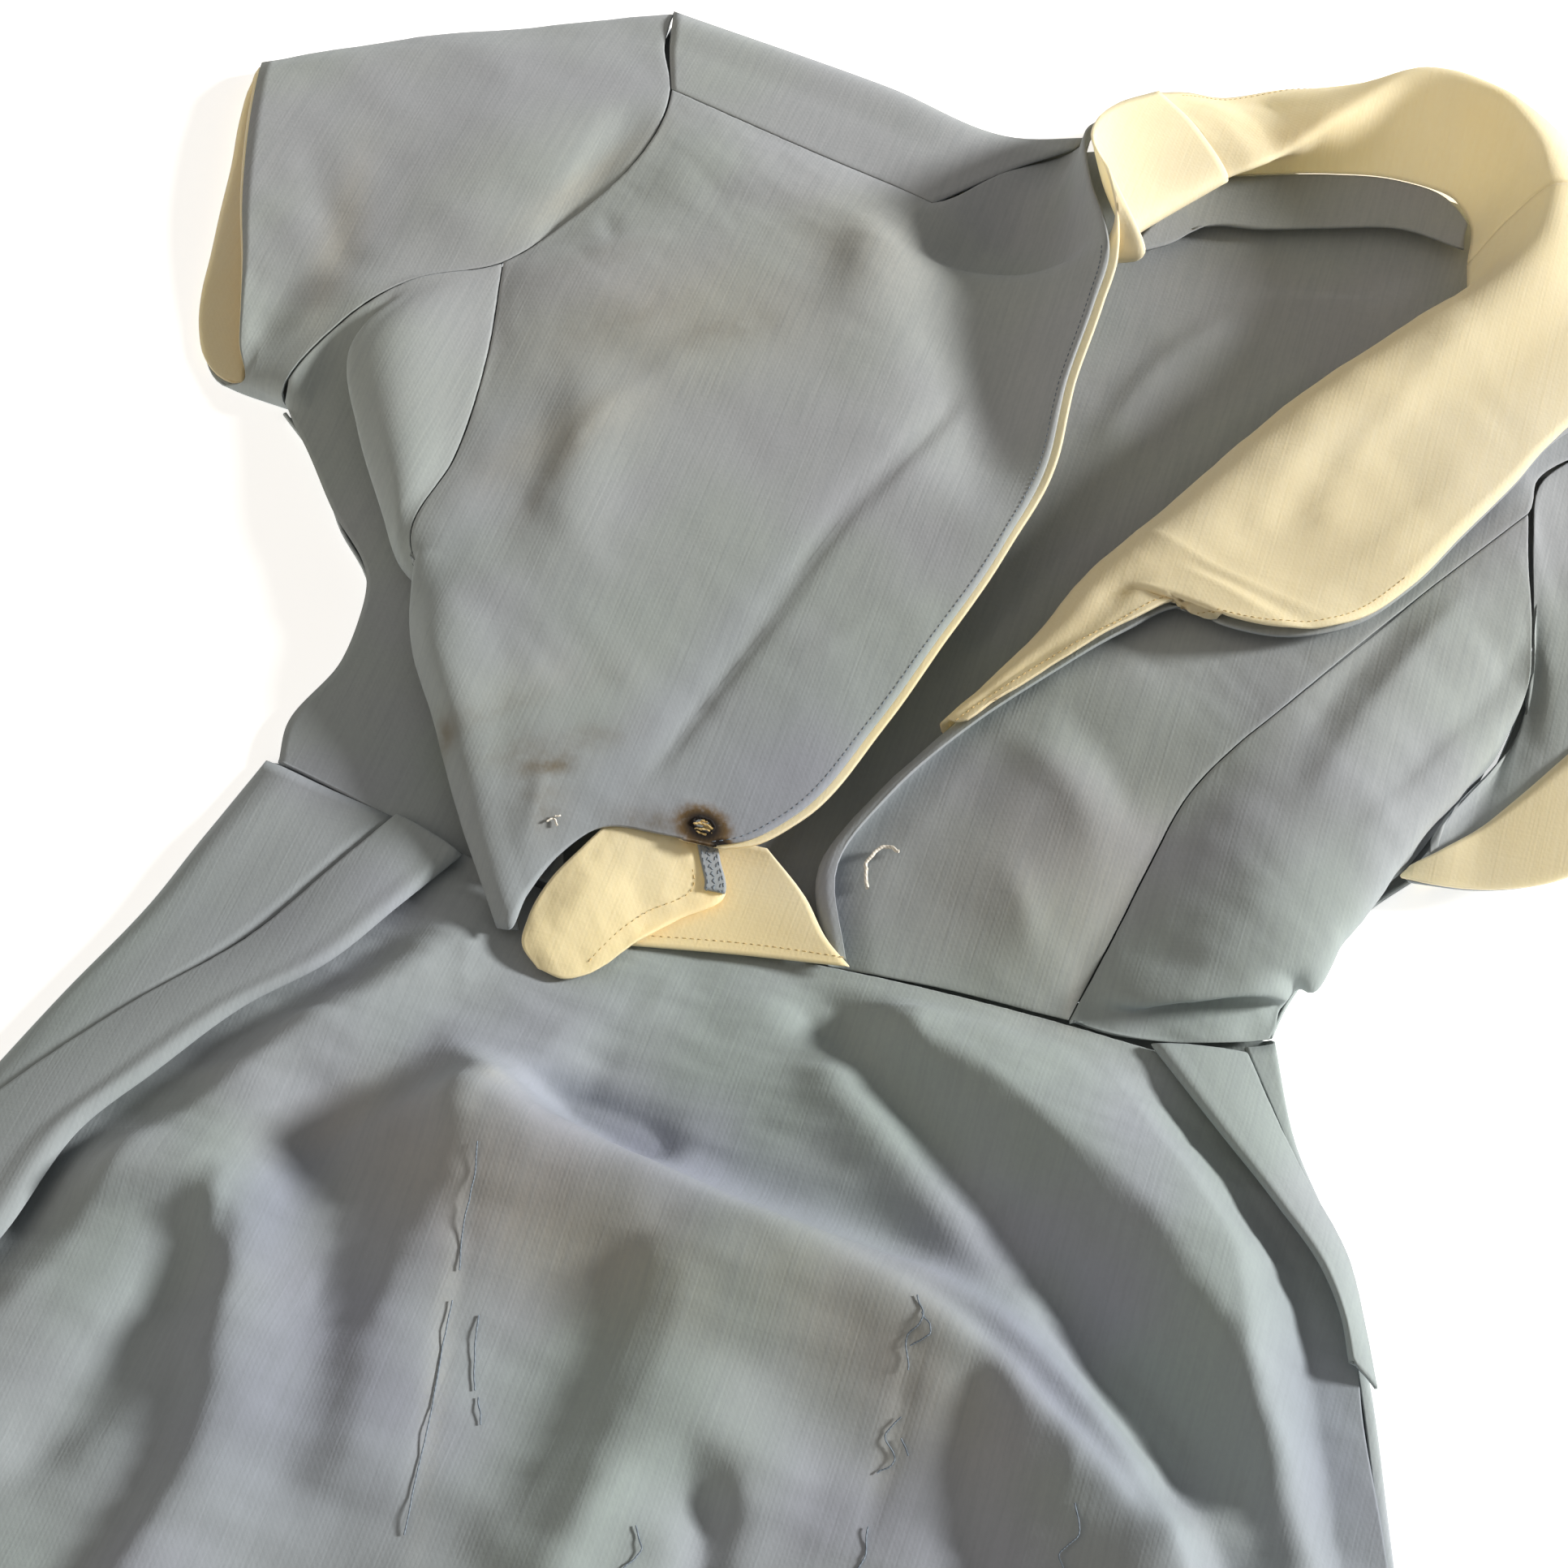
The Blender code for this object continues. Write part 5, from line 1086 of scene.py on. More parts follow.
waistFacingSettings = {
    "cloth": "cream", "node": ["waist_facing_right"], "held": "folded", "restsOn": ["frontRight"],
    "flat": (0.066, 0.079), "area": 0.0032, "across": 10, "along": 10,
    "crease": {"size": 15, "amount": 0.7, "seed": 1.2, "turn": 40, "stretch": 2.0},
    "rows": (
        ((-63, 1, 24.4), (-50, 6, 24.2), (-37, 9, 22.8), (-26, 10, 21)),
        ((-69, -13, 24), (-54, -7, 23.4), (-36, -2, 21.4), (-20, -1, 19)),
        ((-76, -30, 22.5), (-61, -25, 23), (-40, -17, 20.5), (-14, -13, 17.5)),
        ((-78, -47, 21.5), (-66, -42, 23.5), (-49, -33, 21), (-27, -28, 17)),
        ((-76, -58, 21), (-64, -56, 21.5), (-50, -49, 19.8), (-38, -42, 18.2)),
        ((-68, -64, 18.5), (-58, -65, 18.5), (-50, -60, 18), (-45, -54, 17.8)),
    ),
}
tapeSettings = {
    "cloth": "blue", "node": ["waist_seam_tape"], "held": "laid", "restsOn": ["waistFacingRight"],
    "flat": (0.010, 0.025), "area": 0.0002, "width": 8.0, "steps": 8,
}
placketSettings = {
    "cloth": "cream", "node": ["placket_facing_right"], "held": "laid", "restsOn": ["skirtFront"],
    "flat": (0.085, 0.060), "area": 0.0028, "across": 12, "along": 8,
    "rows": (
        ((-36, 8, 13.2), (-20, 12, 14), (-6, 12, 15.8)),
        ((-38, -10, 13), (-14, -6, 13.8), (14, -4, 16)),
        ((-42, -28, 13.6), (-8, -22, 14), (28, -20, 16.8)),
        ((-45, -43, 14.8), (-5, -34, 14.4), (38, -27, 16.2)),
    ),
}


def tapeGrid(s, face):
    grid = plainGrid(face)
    laid = grid + normals(grid) * (layer + 0.1)
    first, last = face["along"] // 4, 2 * face["along"]
    edge, inner = laid[first:last + 1, -1], laid[first:last + 1, -2]
    way = (inner - edge) / np.linalg.norm(inner - edge, axis=1, keepdims=True)
    share = np.linspace(1, 0, s["steps"] + 1)
    tape = edge[:, None] + way[:, None] * (share[None, :, None] * s["width"])
    return tape


clothPiece("waistFacingRight", [crumple(plainGrid(waistFacingSettings), waistFacingSettings["crease"])],
           waistFacingSettings)
clothPiece("waistSeamTape", [tapeGrid(tapeSettings, waistFacingSettings)], tapeSettings)
clothPiece("placketFacingRight", [plainGrid(placketSettings)], placketSettings)


# sleeves and cuffs

sleeveSettings = {
    "right": {
        "cloth": "blue", "node": ["sleeve_right"], "held": "laid", "restsOn": ["bodiceBack"],
        "flat": (0.62, 0.19), "area": 0.060, "across": 8, "along": 12,
        "crease": {"size": 30, "amount": 0.7, "seed": 8.4, "turn": 70, "stretch": 2.0, "tube": True},
        "marks": ("brown", "violet"),
        "folds": (
            ("cuff pull", -0.9, 6, 8, ((-322, 308), (-300, 278), (-278, 250), (-260, 221))),
            ("shoulder pull", -3.0, 9, 12, ((-180, 377), (-184, 343), (-186, 314), (-188, 257))),
        ),
    },
    "left": {
        "cloth": "blue", "node": ["sleeve_left"], "held": "laid", "restsOn": ["bodiceBack"],
        "flat": (0.60, 0.19), "area": 0.045, "across": 8, "along": 12,
        "crease": {"size": 24, "amount": 0.8, "seed": 4.4, "turn": 20, "stretch": 2.0, "tube": True},
        "folds": (("underarm pull", -3.0, 9, 9, ((296, 262), (280, 236), (262, 214))),),
    },
}
cuffSettings = {
    "right": {
        "cloth": "cream", "node": ["cuff_right"], "held": "folded", "restsOn": ["sleeveRight"],
        "flat": (0.44, 0.068), "area": 0.0177, "depth": 32.0, "out": -1.1, "finer": 4,
    },
    "left": {
        "cloth": "cream", "node": ["cuff_left"], "held": "folded", "restsOn": ["sleeveLeft"],
        "flat": (0.44, 0.064), "area": 0.0156, "depth": 32.0, "out": 1.1, "finer": 4,
    },
}


def keepLevel(grid, rings):
    # the underside stays at the lowest point of the ring it is near
    lowest = np.array(rings, float)[..., 2].min(axis=1)
    floor = np.interp(np.linspace(0, 1, len(grid)), np.linspace(0, 1, len(lowest)), lowest)
    grid[..., 2] = np.maximum(grid[..., 2], floor[:, None])
    return grid


def cornerSteps(grid):
    # steps off a tube that keep clear of both sides of a sharp corner
    face = np.cross(np.gradient(grid, axis=0), np.roll(grid, -1, 1) - grid)
    face /= np.linalg.norm(face, axis=-1, keepdims=True)
    n = face + np.roll(face, 1, 1)
    n /= np.linalg.norm(n, axis=-1, keepdims=True)
    return n / np.maximum((n * face).sum(-1, keepdims=True), 0.45)


def makeSleeve(name, rings, s):
    grid = keepLevel(skin(rings, s["across"], s["along"], closed=True), rings)
    grid = crumple(grid, s["crease"])
    level = grid[..., 2] - grid[..., 2].mean(axis=1, keepdims=True)
    upper = ease(level / np.abs(level).max(axis=1, keepdims=True))
    grid[..., 2] += upper * sum(f[1] * ridge(grid, f[4], f[2], f[3], 30.0) for f in s["folds"])
    grid = keepLevel(grid, rings)
    trim(grid, top=2 * gap)
    grid = seamEdge(grid, "top", middle=grid.mean(axis=(0, 1)))
    grid[..., 2] = np.maximum(grid[..., 2], 0.0)
    return clothPiece(name, [grid], s, closed=True)


def makeCuff(name, rings, s):
    coarse = keepLevel(skin(rings, 2, 2, closed=True), rings)
    n = cornerSteps(coarse)
    if (n * (coarse - coarse.mean(axis=1, keepdims=True))).sum() < 0:
        n = -n
    depth = np.linalg.norm(coarse[-1] - coarse, axis=-1).mean(axis=1)
    first = int(np.abs(depth - s["depth"]).argmin())
    band = (coarse + n * (layer * s["out"]))[first:]
    tip = band[-1] + (band[-1] - band[-2]) * 0.05
    least = 0.0 if s["out"] > 0 else layer
    band[..., 2] = np.maximum(band[..., 2], least)
    tip[..., 2] = np.maximum(tip[..., 2], least)
    fine = skin(np.concatenate([band, tip[None]]), s["finer"], s["finer"], closed=True)
    fine[..., 2] = np.maximum(fine[..., 2], least)
    return clothPiece(name, [fine], s, closed=True)


makeSleeve("sleeveRight", sleeveRings["right"], sleeveSettings["right"])
makeSleeve("sleeveLeft", sleeveRings["left"], sleeveSettings["left"])
makeCuff("cuffRight", sleeveRings["right"], cuffSettings["right"])
makeCuff("cuffLeft", sleeveRings["left"], cuffSettings["left"])


# skirt

skirtShape = {
    # level y, right side x, left side x, right wrap, left wrap
    "levels": (
        (-10, -207, 191, 62, 10),
        (-40, -212, 207, 55, 4),
        (-75, -219, 230, 45, 4),
        (-120, -233, 250, 28, 4),
        (-170, -247, 267, 12, 4),
        (-240, -268, 290, 4, 4),
        (-340, -297, 324, 4, 4),
        (-460, -330, 366, 4, 4),
        (-560, -356, 400, 4, 4),
        (-635, -372, 424, 4, 4),
    ),
    "hemCurve": (400.0, -16.0, 0.09, 30.0),
}
skirtBackSettings = {
    "cloth": "blue", "node": ["skirt_back"], "held": "laid", "restsOn": ["floor"],
    "flat": (0.82, 0.705), "area": 0.407, "across": 4, "along": 8,
    "wideWrap": 10, "tall": (11.5, 6.5),    # height of the right wrap where it is wide and where it is narrow
    "waistRight": ((-145, -14.8, 10.6), (-172, -9.8, 8.8), (-201, -3, 5.4), (-204, -1.5, 2.8)),
    "waistLeft": ((191, -2, 2.6), (191, -4, 4.6), (187, -7, 5.6), (181.5, -10, 6.4)),
}
panelShape = {
    # share of the way over, share of the way up, rise above that
    "section": ((0.0, 0.0, 0.0), (0.34, 0.4, 1.0), (0.7, 0.8, 0.8)),
    # the pleat edge's roll and turn-under: distance in from the edge, drop
    "turn": ((1.5, 0.0), (0.0, 1.8), (2.5, 3.6), (5.0, 3.9)),
}
skirtSideSettings = {
    "right": {
        "cloth": "blue", "node": ["skirt_side_right"], "held": "folded",
        "restsOn": ["skirtFront", "skirtBack"],
        "flat": (0.074, 0.361), "area": 0.0157, "across": 6, "along": 14,
        "seam": (
            (-144, -13.5, 12.6), (-157, -42, 13), (-174, -79, 13), (-205, -121, 13),
            (-235, -170, 12.8), (-252, -205, 11), (-264, -245, 9.4), (-281, -290, 9),
            (-294, -338, 9),
        ),
        "pleat": (
            (-113, -23.5, 14.5), (-126, -52, 17), (-141, -84, 19), (-163, -111, 19),
            (-182, -145, 19), (-196, -171, 19), (-205, -220, 18.5), (-230, -280, 17),
            (-268, -335, 14.5),
        ),
    },
    "left": {
        "cloth": "blue", "node": ["skirt_side_left"], "held": "folded",
        "restsOn": ["skirtFront", "skirtBack"],
        "flat": (0.043, 0.141), "area": 0.0036, "across": 5, "along": 10,
        "seam": (
            (183, -12, 8), (198, -34, 8.4), (213, -54, 8.4), (234, -80, 8.4), (245, -104, 8.4),
            (253, -124, 8.4),
        ),
        "pleat": (
            (149, -22.5, 14), (179, -50, 18), (204, -72, 20), (226, -93, 20), (235, -106, 18),
            (241, -120, 15.5),
        ),
    },
}
skirtFrontSettings = {
    "marks": ("violet", "brown", "worn"),
    "cloth": "blue", "node": ["skirt_front"], "held": "gathered", "restsOn": ["skirtBack"],
    "flat": (0.81, 0.71), "area": 0.392, "rows": 192, "columns": 216,
    "crease": {"size": 22, "amount": 1.3, "seed": 7.3, "turn": 96, "stretch": 2.8, "calm": 5},
    "fine": {"size": 8, "amount": 0.22, "seed": 2.3, "turn": 90, "stretch": 3.0, "calm": 3},
    "loft": 9.0, "underPleat": 14.0, "floor": 8.4, "waistCalm": 24.0, "crowding": 0.6,
    "waist": (
        (-127, -18.5, 9), (-73, -27.5, 9.5), (0, -27.5, 9.2), (62, -24, 10.6),
        (119, -23.2, 11.6), (150, -22.6, 9.8), (163, -21, 7.6),
    ),
    "edgeRight": (
        (-127, -18.5, 9), (-140, -52, 9.6), (-155, -84, 10), (-176, -111, 10),
        (-196, -145, 9.8), (-212, -171, 9.4), (-224, -220, 9), (-252, -280, 8.6),
        (-292, -350, 8.4), (-328, -460, 8.4), (-354, -560, 8.4), (-370, -672, 8.4),
    ),
    "edgeLeft": (
        (163, -21, 7.6), (191, -48, 8.4), (214, -68, 8.6), (234, -90, 8.6),
        (241, -106, 8.4), (250, -136, 8.4), (264, -172, 8.4), (288, -242, 8.4),
        (322, -342, 8.4), (364, -460, 8.4), (398, -560, 8.4), (422, -600, 8.4),
    ),
    "folds": (
        ("arch", 25, 40, 11, ((-98, -104), (-62, -120), (-33, -127), (10, -136), (60, -141),
                              (110, -147), (150, -163), (180, -188), (204, -216), (240, -290))),
        ("hip ridge", 19, 15, 32, ((30, -40), (90, -54), (130, -70), (160, -88), (192, -113),
                                   (223, -143), (248, -189), (272, -262))),
        ("hip valley", -7, 12, 12, ((8, -26), (62, -64), (100, -93), (140, -122), (172, -142),
                                    (210, -168), (254, -220))),
        ("side valley", -7, 12, 12, ((130, -130), (192, -177), (222, -214), (260, -290))),
        ("middle ridge", 13, 13, 32, ((8, -130), (22, -183), (22, -220), (28, -272), (36, -350))),
        ("left drop", 13, 14, 30, ((-68, -96), (-62, -157), (-63, -212), (-50, -290))),
        ("plateau", 17, 12, 26, ((-240, -215), (-205, -196), (-178, -186), (-150, -178),
                                 (-128, -188), (-116, -222), (-106, -262), (-120, -350))),
        ("left hollow", -6, 18, 18, ((-117, -118), (-113, -175), (-96, -235))),
        ("flank", 7, 16, 22, ((-100, -40), (-135, -105), (-175, -160))),
        ("front wave", 11, 40, 44, ((20, -260), (28, -350), (40, -470), (48, -660))),
        ("right wave", 11, 36, 40, ((-150, -330), (-190, -440), (-240, -660))),
        ("left wave", 11, 36, 40, ((190, -300), (235, -430), (292, -660))),
        ("right dip", -6, 30, 30, ((-60, -300), (-80, -430), (-95, -660))),
        ("left dip", -6, 30, 30, ((120, -300), (140, -440), (165, -660))),
    ),
    "softer": (
        ("middle ridge", -8, 12, 30, ((8, -130), (22, -183), (22, -220), (28, -272), (36, -350))),
        ("left drop", -6, 12, 28, ((-68, -96), (-62, -157), (-63, -212), (-50, -290))),
        ("plateau", -8, 12, 26, ((-240, -215), (-205, -196), (-178, -186), (-150, -178),
                                 (-128, -188), (-116, -222), (-106, -262), (-120, -350))),
        ("hip ridge", -6, 14, 30, ((30, -40), (90, -54), (130, -70), (160, -88), (192, -113),
                                   (223, -143), (248, -189), (272, -262))),
        ("arch shoulder", -4, 34, 9, ((-98, -104), (-62, -120), (-33, -127), (10, -136), (60, -141),
                                      (110, -147), (150, -163), (180, -188), (204, -216))),
        ("hip foot", 5, 12, 12, ((30, -62), (72, -92), (110, -120), (150, -148), (186, -178), (214, -212))),
        ("pocket", -8, 14, 9, ((-66, -106), (-42, -112), (-18, -115), (8, -119))),
        ("behind the arch", -9, 8, 40, ((-60, -112), (-38, -118), (-10, -122), (17, -126), (66, -133),
                                        (100, -141), (128, -152), (154, -167), (178, -182), (206, -200))),
        ("peak shoulder", 5, 14, 9, ((-60, -118), (-78, -132), (-96, -142), (-106, -158))),
        ("hip roll", 4, 12, 16, ((40, -46), (90, -74), (136, -104), (172, -130), (206, -160), (236, -194))),
        ("wedge", -6, 16, 12, ((-128, -200), (-144, -226), (-150, -258), (-170, -300))),
        ("bulge", 7, 12, 22, ((8, -290), (16, -252), (28, -226), (44, -214), (60, -220), (78, -244))),
        ("bulge side", -5, 8, 8, ((50, -218), (56, -240), (62, -268), (64, -320))),
        ("far fold", -4, 12, 9, ((116, -152), (127, -176), (131, -200), (143, -236), (150, -290))),
        ("side roll", 3, 9, 12, ((-150, -84), (-172, -118), (-188, -148), (-198, -190))),
        ("hem fold a", 5, 16, 24, ((-250, -420), (-262, -520), (-286, -664))),
        ("hem fold b", -5, 16, 16, ((-130, -440), (-150, -540), (-160, -664))),
        ("hem fold c", 5, 18, 22, ((110, -400), (120, -520), (140, -664))),
        ("hem fold d", 4, 14, 20, ((260, -420), (300, -520), (340, -640))),
    ),
    "creases": (
        ("arch crest", 1.2, 8, 4, ((-64, -117), (-45, -123), (-14, -127), (13, -131), (62, -139),
                                   (95, -147), (121, -158), (147, -173), (170, -188), (195, -204))),
        ("thin hip", 1.4, 6, 9, ((86, -53), (124, -74), (153, -97), (190, -123), (219, -152))),
        ("streak a", 1.3, 4, 8, ((8, -150), (12, -186), (6, -222), (0, -262))),
        ("streak b", 1.2, 4, 8, ((22, -156), (26, -192), (22, -224))),
        ("drop edge", 1.5, 6, 12, ((-80, -150), (-76, -176), (-72, -206), (-78, -240))),
        ("shade edge", -1.5, 6, 10, ((-104, -152), (-100, -168), (-93, -190), (-95, -226))),
        ("rim", 1.6, 5, 12, ((-130, -190), (-138, -178), (-134, -212), (-124, -238), (-110, -268))),
        ("plateau edge", 1.2, 6, 6, ((-186, -184), (-162, -184), (-146, -172), (-134, -184))),
        ("waist pull a", 0.9, 5, 7, ((-98, -34), (-96, -62), (-86, -90))),
        ("waist pull b", 0.8, 5, 7, ((-20, -36), (-26, -66), (-40, -96))),
        ("waist pull c", 0.8, 4, 6, ((66, -32), (70, -48), (82, -66))),
        ("snag a", -1.0, 3, 4, ((-58, -142), (-53, -168), (-48, -188), (-44, -214),
                                (-39, -239), (-33, -277))),
        ("snag b", -1.0, 3, 4, ((100, -150), (103, -170), (106, -189), (106, -208), (107, -242))),
        ("right crease", 1.2, 4, 7, ((150, -176), (162, -188), (160, -214))),
        ("hem crease a", 1.2, 6, 9, ((-60, -330), (-74, -420), (-70, -520))),
        ("hem crease b", 1.1, 6, 9, ((60, -340), (70, -430), (92, -560))),
        ("hem crease c", 1.2, 6, 9, ((200, -330), (230, -430), (270, -560))),
    ),
}


def hemDip(x):
    half, drop, lean, middle = skirtShape["hemCurve"]
    return drop * (1 - (x / half) ** 2) + lean * (x - middle)


def makeSkirtBack(s):
    rows = []
    for y, right, left, wrapR, wrapL in skirtShape["levels"]:
        tall = s["tall"][0] if wrapR > s["wideWrap"] else s["tall"][1]
        row = [(right + wrapR, y - wrapR * 0.05, tall), (right + wrapR * 0.5, y, tall * 0.85),
               (right + 1.0, y, 5.0), (right, y, 2.6), (right + 3, y, 0.0)]
        row += [(right + 3 + (left - right - 6) * k / 6, y, 0.0) for k in range(1, 6)]
        row += [(left - 3, y, 0.0), (left, y, 2.6), (left - 1, y, 5.0),
                (left - wrapL * 0.5 - 0.5, y, 6.0), (left - wrapL - 0.5, y, 6.5)]
        rows.append(row)
    rows = np.array(rows)
    waist = smoothLine(outlines["waistBack"], 8)
    rows[0, :, 1] = np.interp(rows[0, :, 0], waist[:, 0], waist[:, 1]) - 3 * gap
    rows[0, :4] = s["waistRight"]
    rows[0, -4:] = s["waistLeft"]
    rows[-1, :, 1] += hemDip(rows[-1, :, 0])
    grid = skin(rows, s["across"], s["along"])
    grid[..., 2] = np.maximum(grid[..., 2], 0)
    return clothPiece("skirtBack", [grid], s, outward=True)


def makeSkirtSide(name, s):
    rows = []
    for start, edge in zip(np.array(s["seam"], float), np.array(s["pleat"], float)):
        way = math.copysign(1.0, edge[0] - start[0])
        row = [start + (edge - start) * (over, over, up) + (0, 0, above)
               for over, up, above in panelShape["section"]]
        rows.append(row + [edge - (way * back, 0, drop) for back, drop in panelShape["turn"]])
    grid = trim(skin(rows, s["across"], s["along"]), top=gap / 2, left=gap)
    return clothPiece(name, [seamEdge(seamEdge(grid, "left"), "top")], s)


def skirtFrontGrid(s):
    steps = s["crowding"] * np.linspace(0, 1, s["rows"] + 1) ** 2
    steps += (1 - s["crowding"]) * np.linspace(0, 1, s["rows"] + 1)
    edgeR, edgeL = evenly(s["edgeRight"], steps), evenly(s["edgeLeft"], steps)
    u = np.linspace(0, 1, s["columns"] + 1)
    u = 0.5 * u + 0.5 * (0.5 - 0.5 * np.cos(math.pi * u))
    top = smoothLine(s["waist"], 24)
    top = np.stack([np.interp(u, np.linspace(0, 1, len(top)), top[:, k]) for k in range(3)], 1)
    bottom = edgeR[-1] * (1 - u[:, None]) + edgeL[-1] * u[:, None]
    bottom[:, 1] = skirtShape["levels"][-1][0] + hemDip(bottom[:, 0])
    edgeR[0], edgeL[0] = top[0], top[-1]
    edgeR[-1], edgeL[-1] = bottom[0], bottom[-1]
    grid = patch(top, bottom, edgeR, edgeL, u, steps)
    near = np.minimum(np.linalg.norm(grid - grid[:, :1], axis=-1),
                      np.linalg.norm(grid - grid[:, -1:], axis=-1))
    depth = np.clip(-(grid[..., 1] + 24) / 70, 0, 1)
    calm = ease((near - s["underPleat"]) / (2 * s["underPleat"]))
    grid[..., 2] += s["loft"] * depth * calm
    drop = np.linalg.norm(grid - grid[:1], axis=-1)
    lifted = foldCloth(foldCloth(grid.copy(), s["folds"]), s["softer"], 24.0)
    lift = foldCloth(lifted, s["creases"], 24.0, 1.1)[..., 2] - grid[..., 2]
    grid[..., 2] += lift * calm * ease(drop / s["waistCalm"])
    grid = crumple(crumple(grid, s["crease"]), s["fine"])
    grid[1:, :, 2] = np.maximum(grid[1:, :, 2], s["floor"])
    return grid


def makeSkirtFront(s):
    grid = skirtFrontGrid(s)
    trim(grid, top=gap)
    return clothPiece("skirtFront", [seamEdge(grid, "top")], s)


makeSkirtBack(skirtBackSettings)
makeSkirtSide("skirtSideRight", skirtSideSettings["right"])
makeSkirtSide("skirtSideLeft", skirtSideSettings["left"])
makeSkirtFront(skirtFrontSettings)
print("cloth made")


# stitches and loose threads

stitchSettings = {
    "pitch": 2.7, "long": 1.9, "wide": 0.42, "tall": 0.30, "seed": 5, "uneven": 0.15, "lift": 0.12,
}


def startTree(name, inputs):
    # a node tree whose first input is a path, with the socket of each input
    tree = bpy.data.node_groups.new(name, "GeometryNodeTree")
    sockets = {"Path": "Geometry", **inputs, "Thread": "Material"}
    keys = {}
    for label, kind in sockets.items():
        socket = tree.interface.new_socket(label, in_out="INPUT", socket_type="NodeSocket" + kind)
        keys[label] = socket.identifier
    tree.interface.new_socket("Sewing", in_out="OUTPUT", socket_type="NodeSocketGeometry")
    start = addNode(tree, "NodeGroupInput").outputs
    return tree, keys, start, addNode(tree, "GeometryNodeMeshToCurve", None, {0: start["Path"]})


def endTree(tree, made, start):
    solid = addNode(tree, "GeometryNodeRealizeInstances", None, {0: made.outputs[0]})
    done = addNode(tree, "GeometryNodeSetMaterial", None, {0: solid.outputs[0], 2: start["Thread"]})
    addNode(tree, "NodeGroupOutput", None, {0: done.outputs[0]})


def stitchTree(name):
    # a short thread bead at each step of a path
    tree, keys, start, curve = startTree(name, {"Pitch": "Float", "Size": "Vector", "Uneven": "Float"})
    steps = addNode(tree, "GeometryNodeResampleCurve", None, {0: curve.outputs[0], 3: start["Pitch"]},
                    mode="LENGTH")
    bead = addNode(tree, "GeometryNodeMeshIcoSphere", {0: 0.5, 1: 1})
    turn = addNode(tree, "FunctionNodeAlignRotationToVector", None,
                   {2: addNode(tree, "GeometryNodeInputTangent").outputs[0]}, axis="X")
    vary = addNode(tree, "FunctionNodeRandomValue", {2: 1.0, 3: 1.0, 8: stitchSettings["seed"]},
                   {3: sumOf(tree, "ADD", start["Uneven"], 1.0)}, data_type="FLOAT")
    size = addNode(tree, "ShaderNodeVectorMath", None, {0: start["Size"], 3: vary.outputs[1]},
                   operation="SCALE")
    laid = addNode(tree, "GeometryNodeInstanceOnPoints", None,
                   {0: steps.outputs[0], 2: bead.outputs[0], 5: turn.outputs[0], 6: size.outputs[0]})
    endTree(tree, laid, start)
    return tree, keys


def threadTree(name):
    # a round thread along a path
    tree, keys, start, curve = startTree(name, {"Radius": "Float"})
    ring = addNode(tree, "GeometryNodeCurvePrimitiveCircle", {0: 6}, {4: start["Radius"]})
    tube = addNode(tree, "GeometryNodeCurveToMesh", {3: True}, {0: curve.outputs[0], 1: ring.outputs[0]})
    endTree(tree, tube, start)
    return tree, keys


def grown(name, paths, tree, keys, values):
    # paths in mm as a wire, grown by a node tree into its own plain mesh
    points = [Vector(p) * mm for path in paths for p in path]
    edges, first = [], 0
    for path in paths:
        edges += [(first + k, first + k + 1) for k in range(len(path) - 1)]
        first += len(path)
    mesh = bpy.data.meshes.new(name)
    mesh.from_pydata(points, edges, [])
    piece = addObject(name, mesh)
    grow = piece.modifiers.new("grow", "NODES")
    grow.node_group = tree
    for label, value in values.items():
        grow[keys[label]] = value
    freeze(piece)
    piece.data.shade_smooth()
    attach(piece, "root")
    print(name, "faces", len(piece.data.polygons))
    return piece


def inFrom(grid, side, distance, lift, first=0.0, last=1.0):
    # a path at a distance in from one edge, lifted off the cloth's upper side
    turned = turnTo(grid, side)
    turned = turned[:, int(first * (turned.shape[1] - 1)):int(last * (turned.shape[1] - 1)) + 1]
    n = normals(turned)
    n *= np.sign(n[..., 2].sum())
    path = []
    for k in range(turned.shape[1]):
        run = runAlong(turned[:, k])
        raised = turned[:, k] + n[:, k] * lift
        path.append([np.interp(distance, run, raised[:, axis]) for axis in range(3)])
    return np.array(path)


def onCloth(grid, points, lift):
    # points given in plan, set on the highest cloth under them
    flat = grid.reshape(-1, 3)
    out = []
    for x, y in points:
        near = flat[np.argsort((flat[:, 0] - x) ** 2 + (flat[:, 1] - y) ** 2)[:4]]
        out.append((x, y, near[:, 2].max() + lift))
    return np.array(out)


def wiggled(path, amount, seed):
    # a slack thread: small wanderings along a path
    fine = smoothLine(path, 6)
    for k, p in enumerate(fine):
        p += np.array(noise.noise_vector((k * 0.37, seed, 0.0))) * amount
    return fine


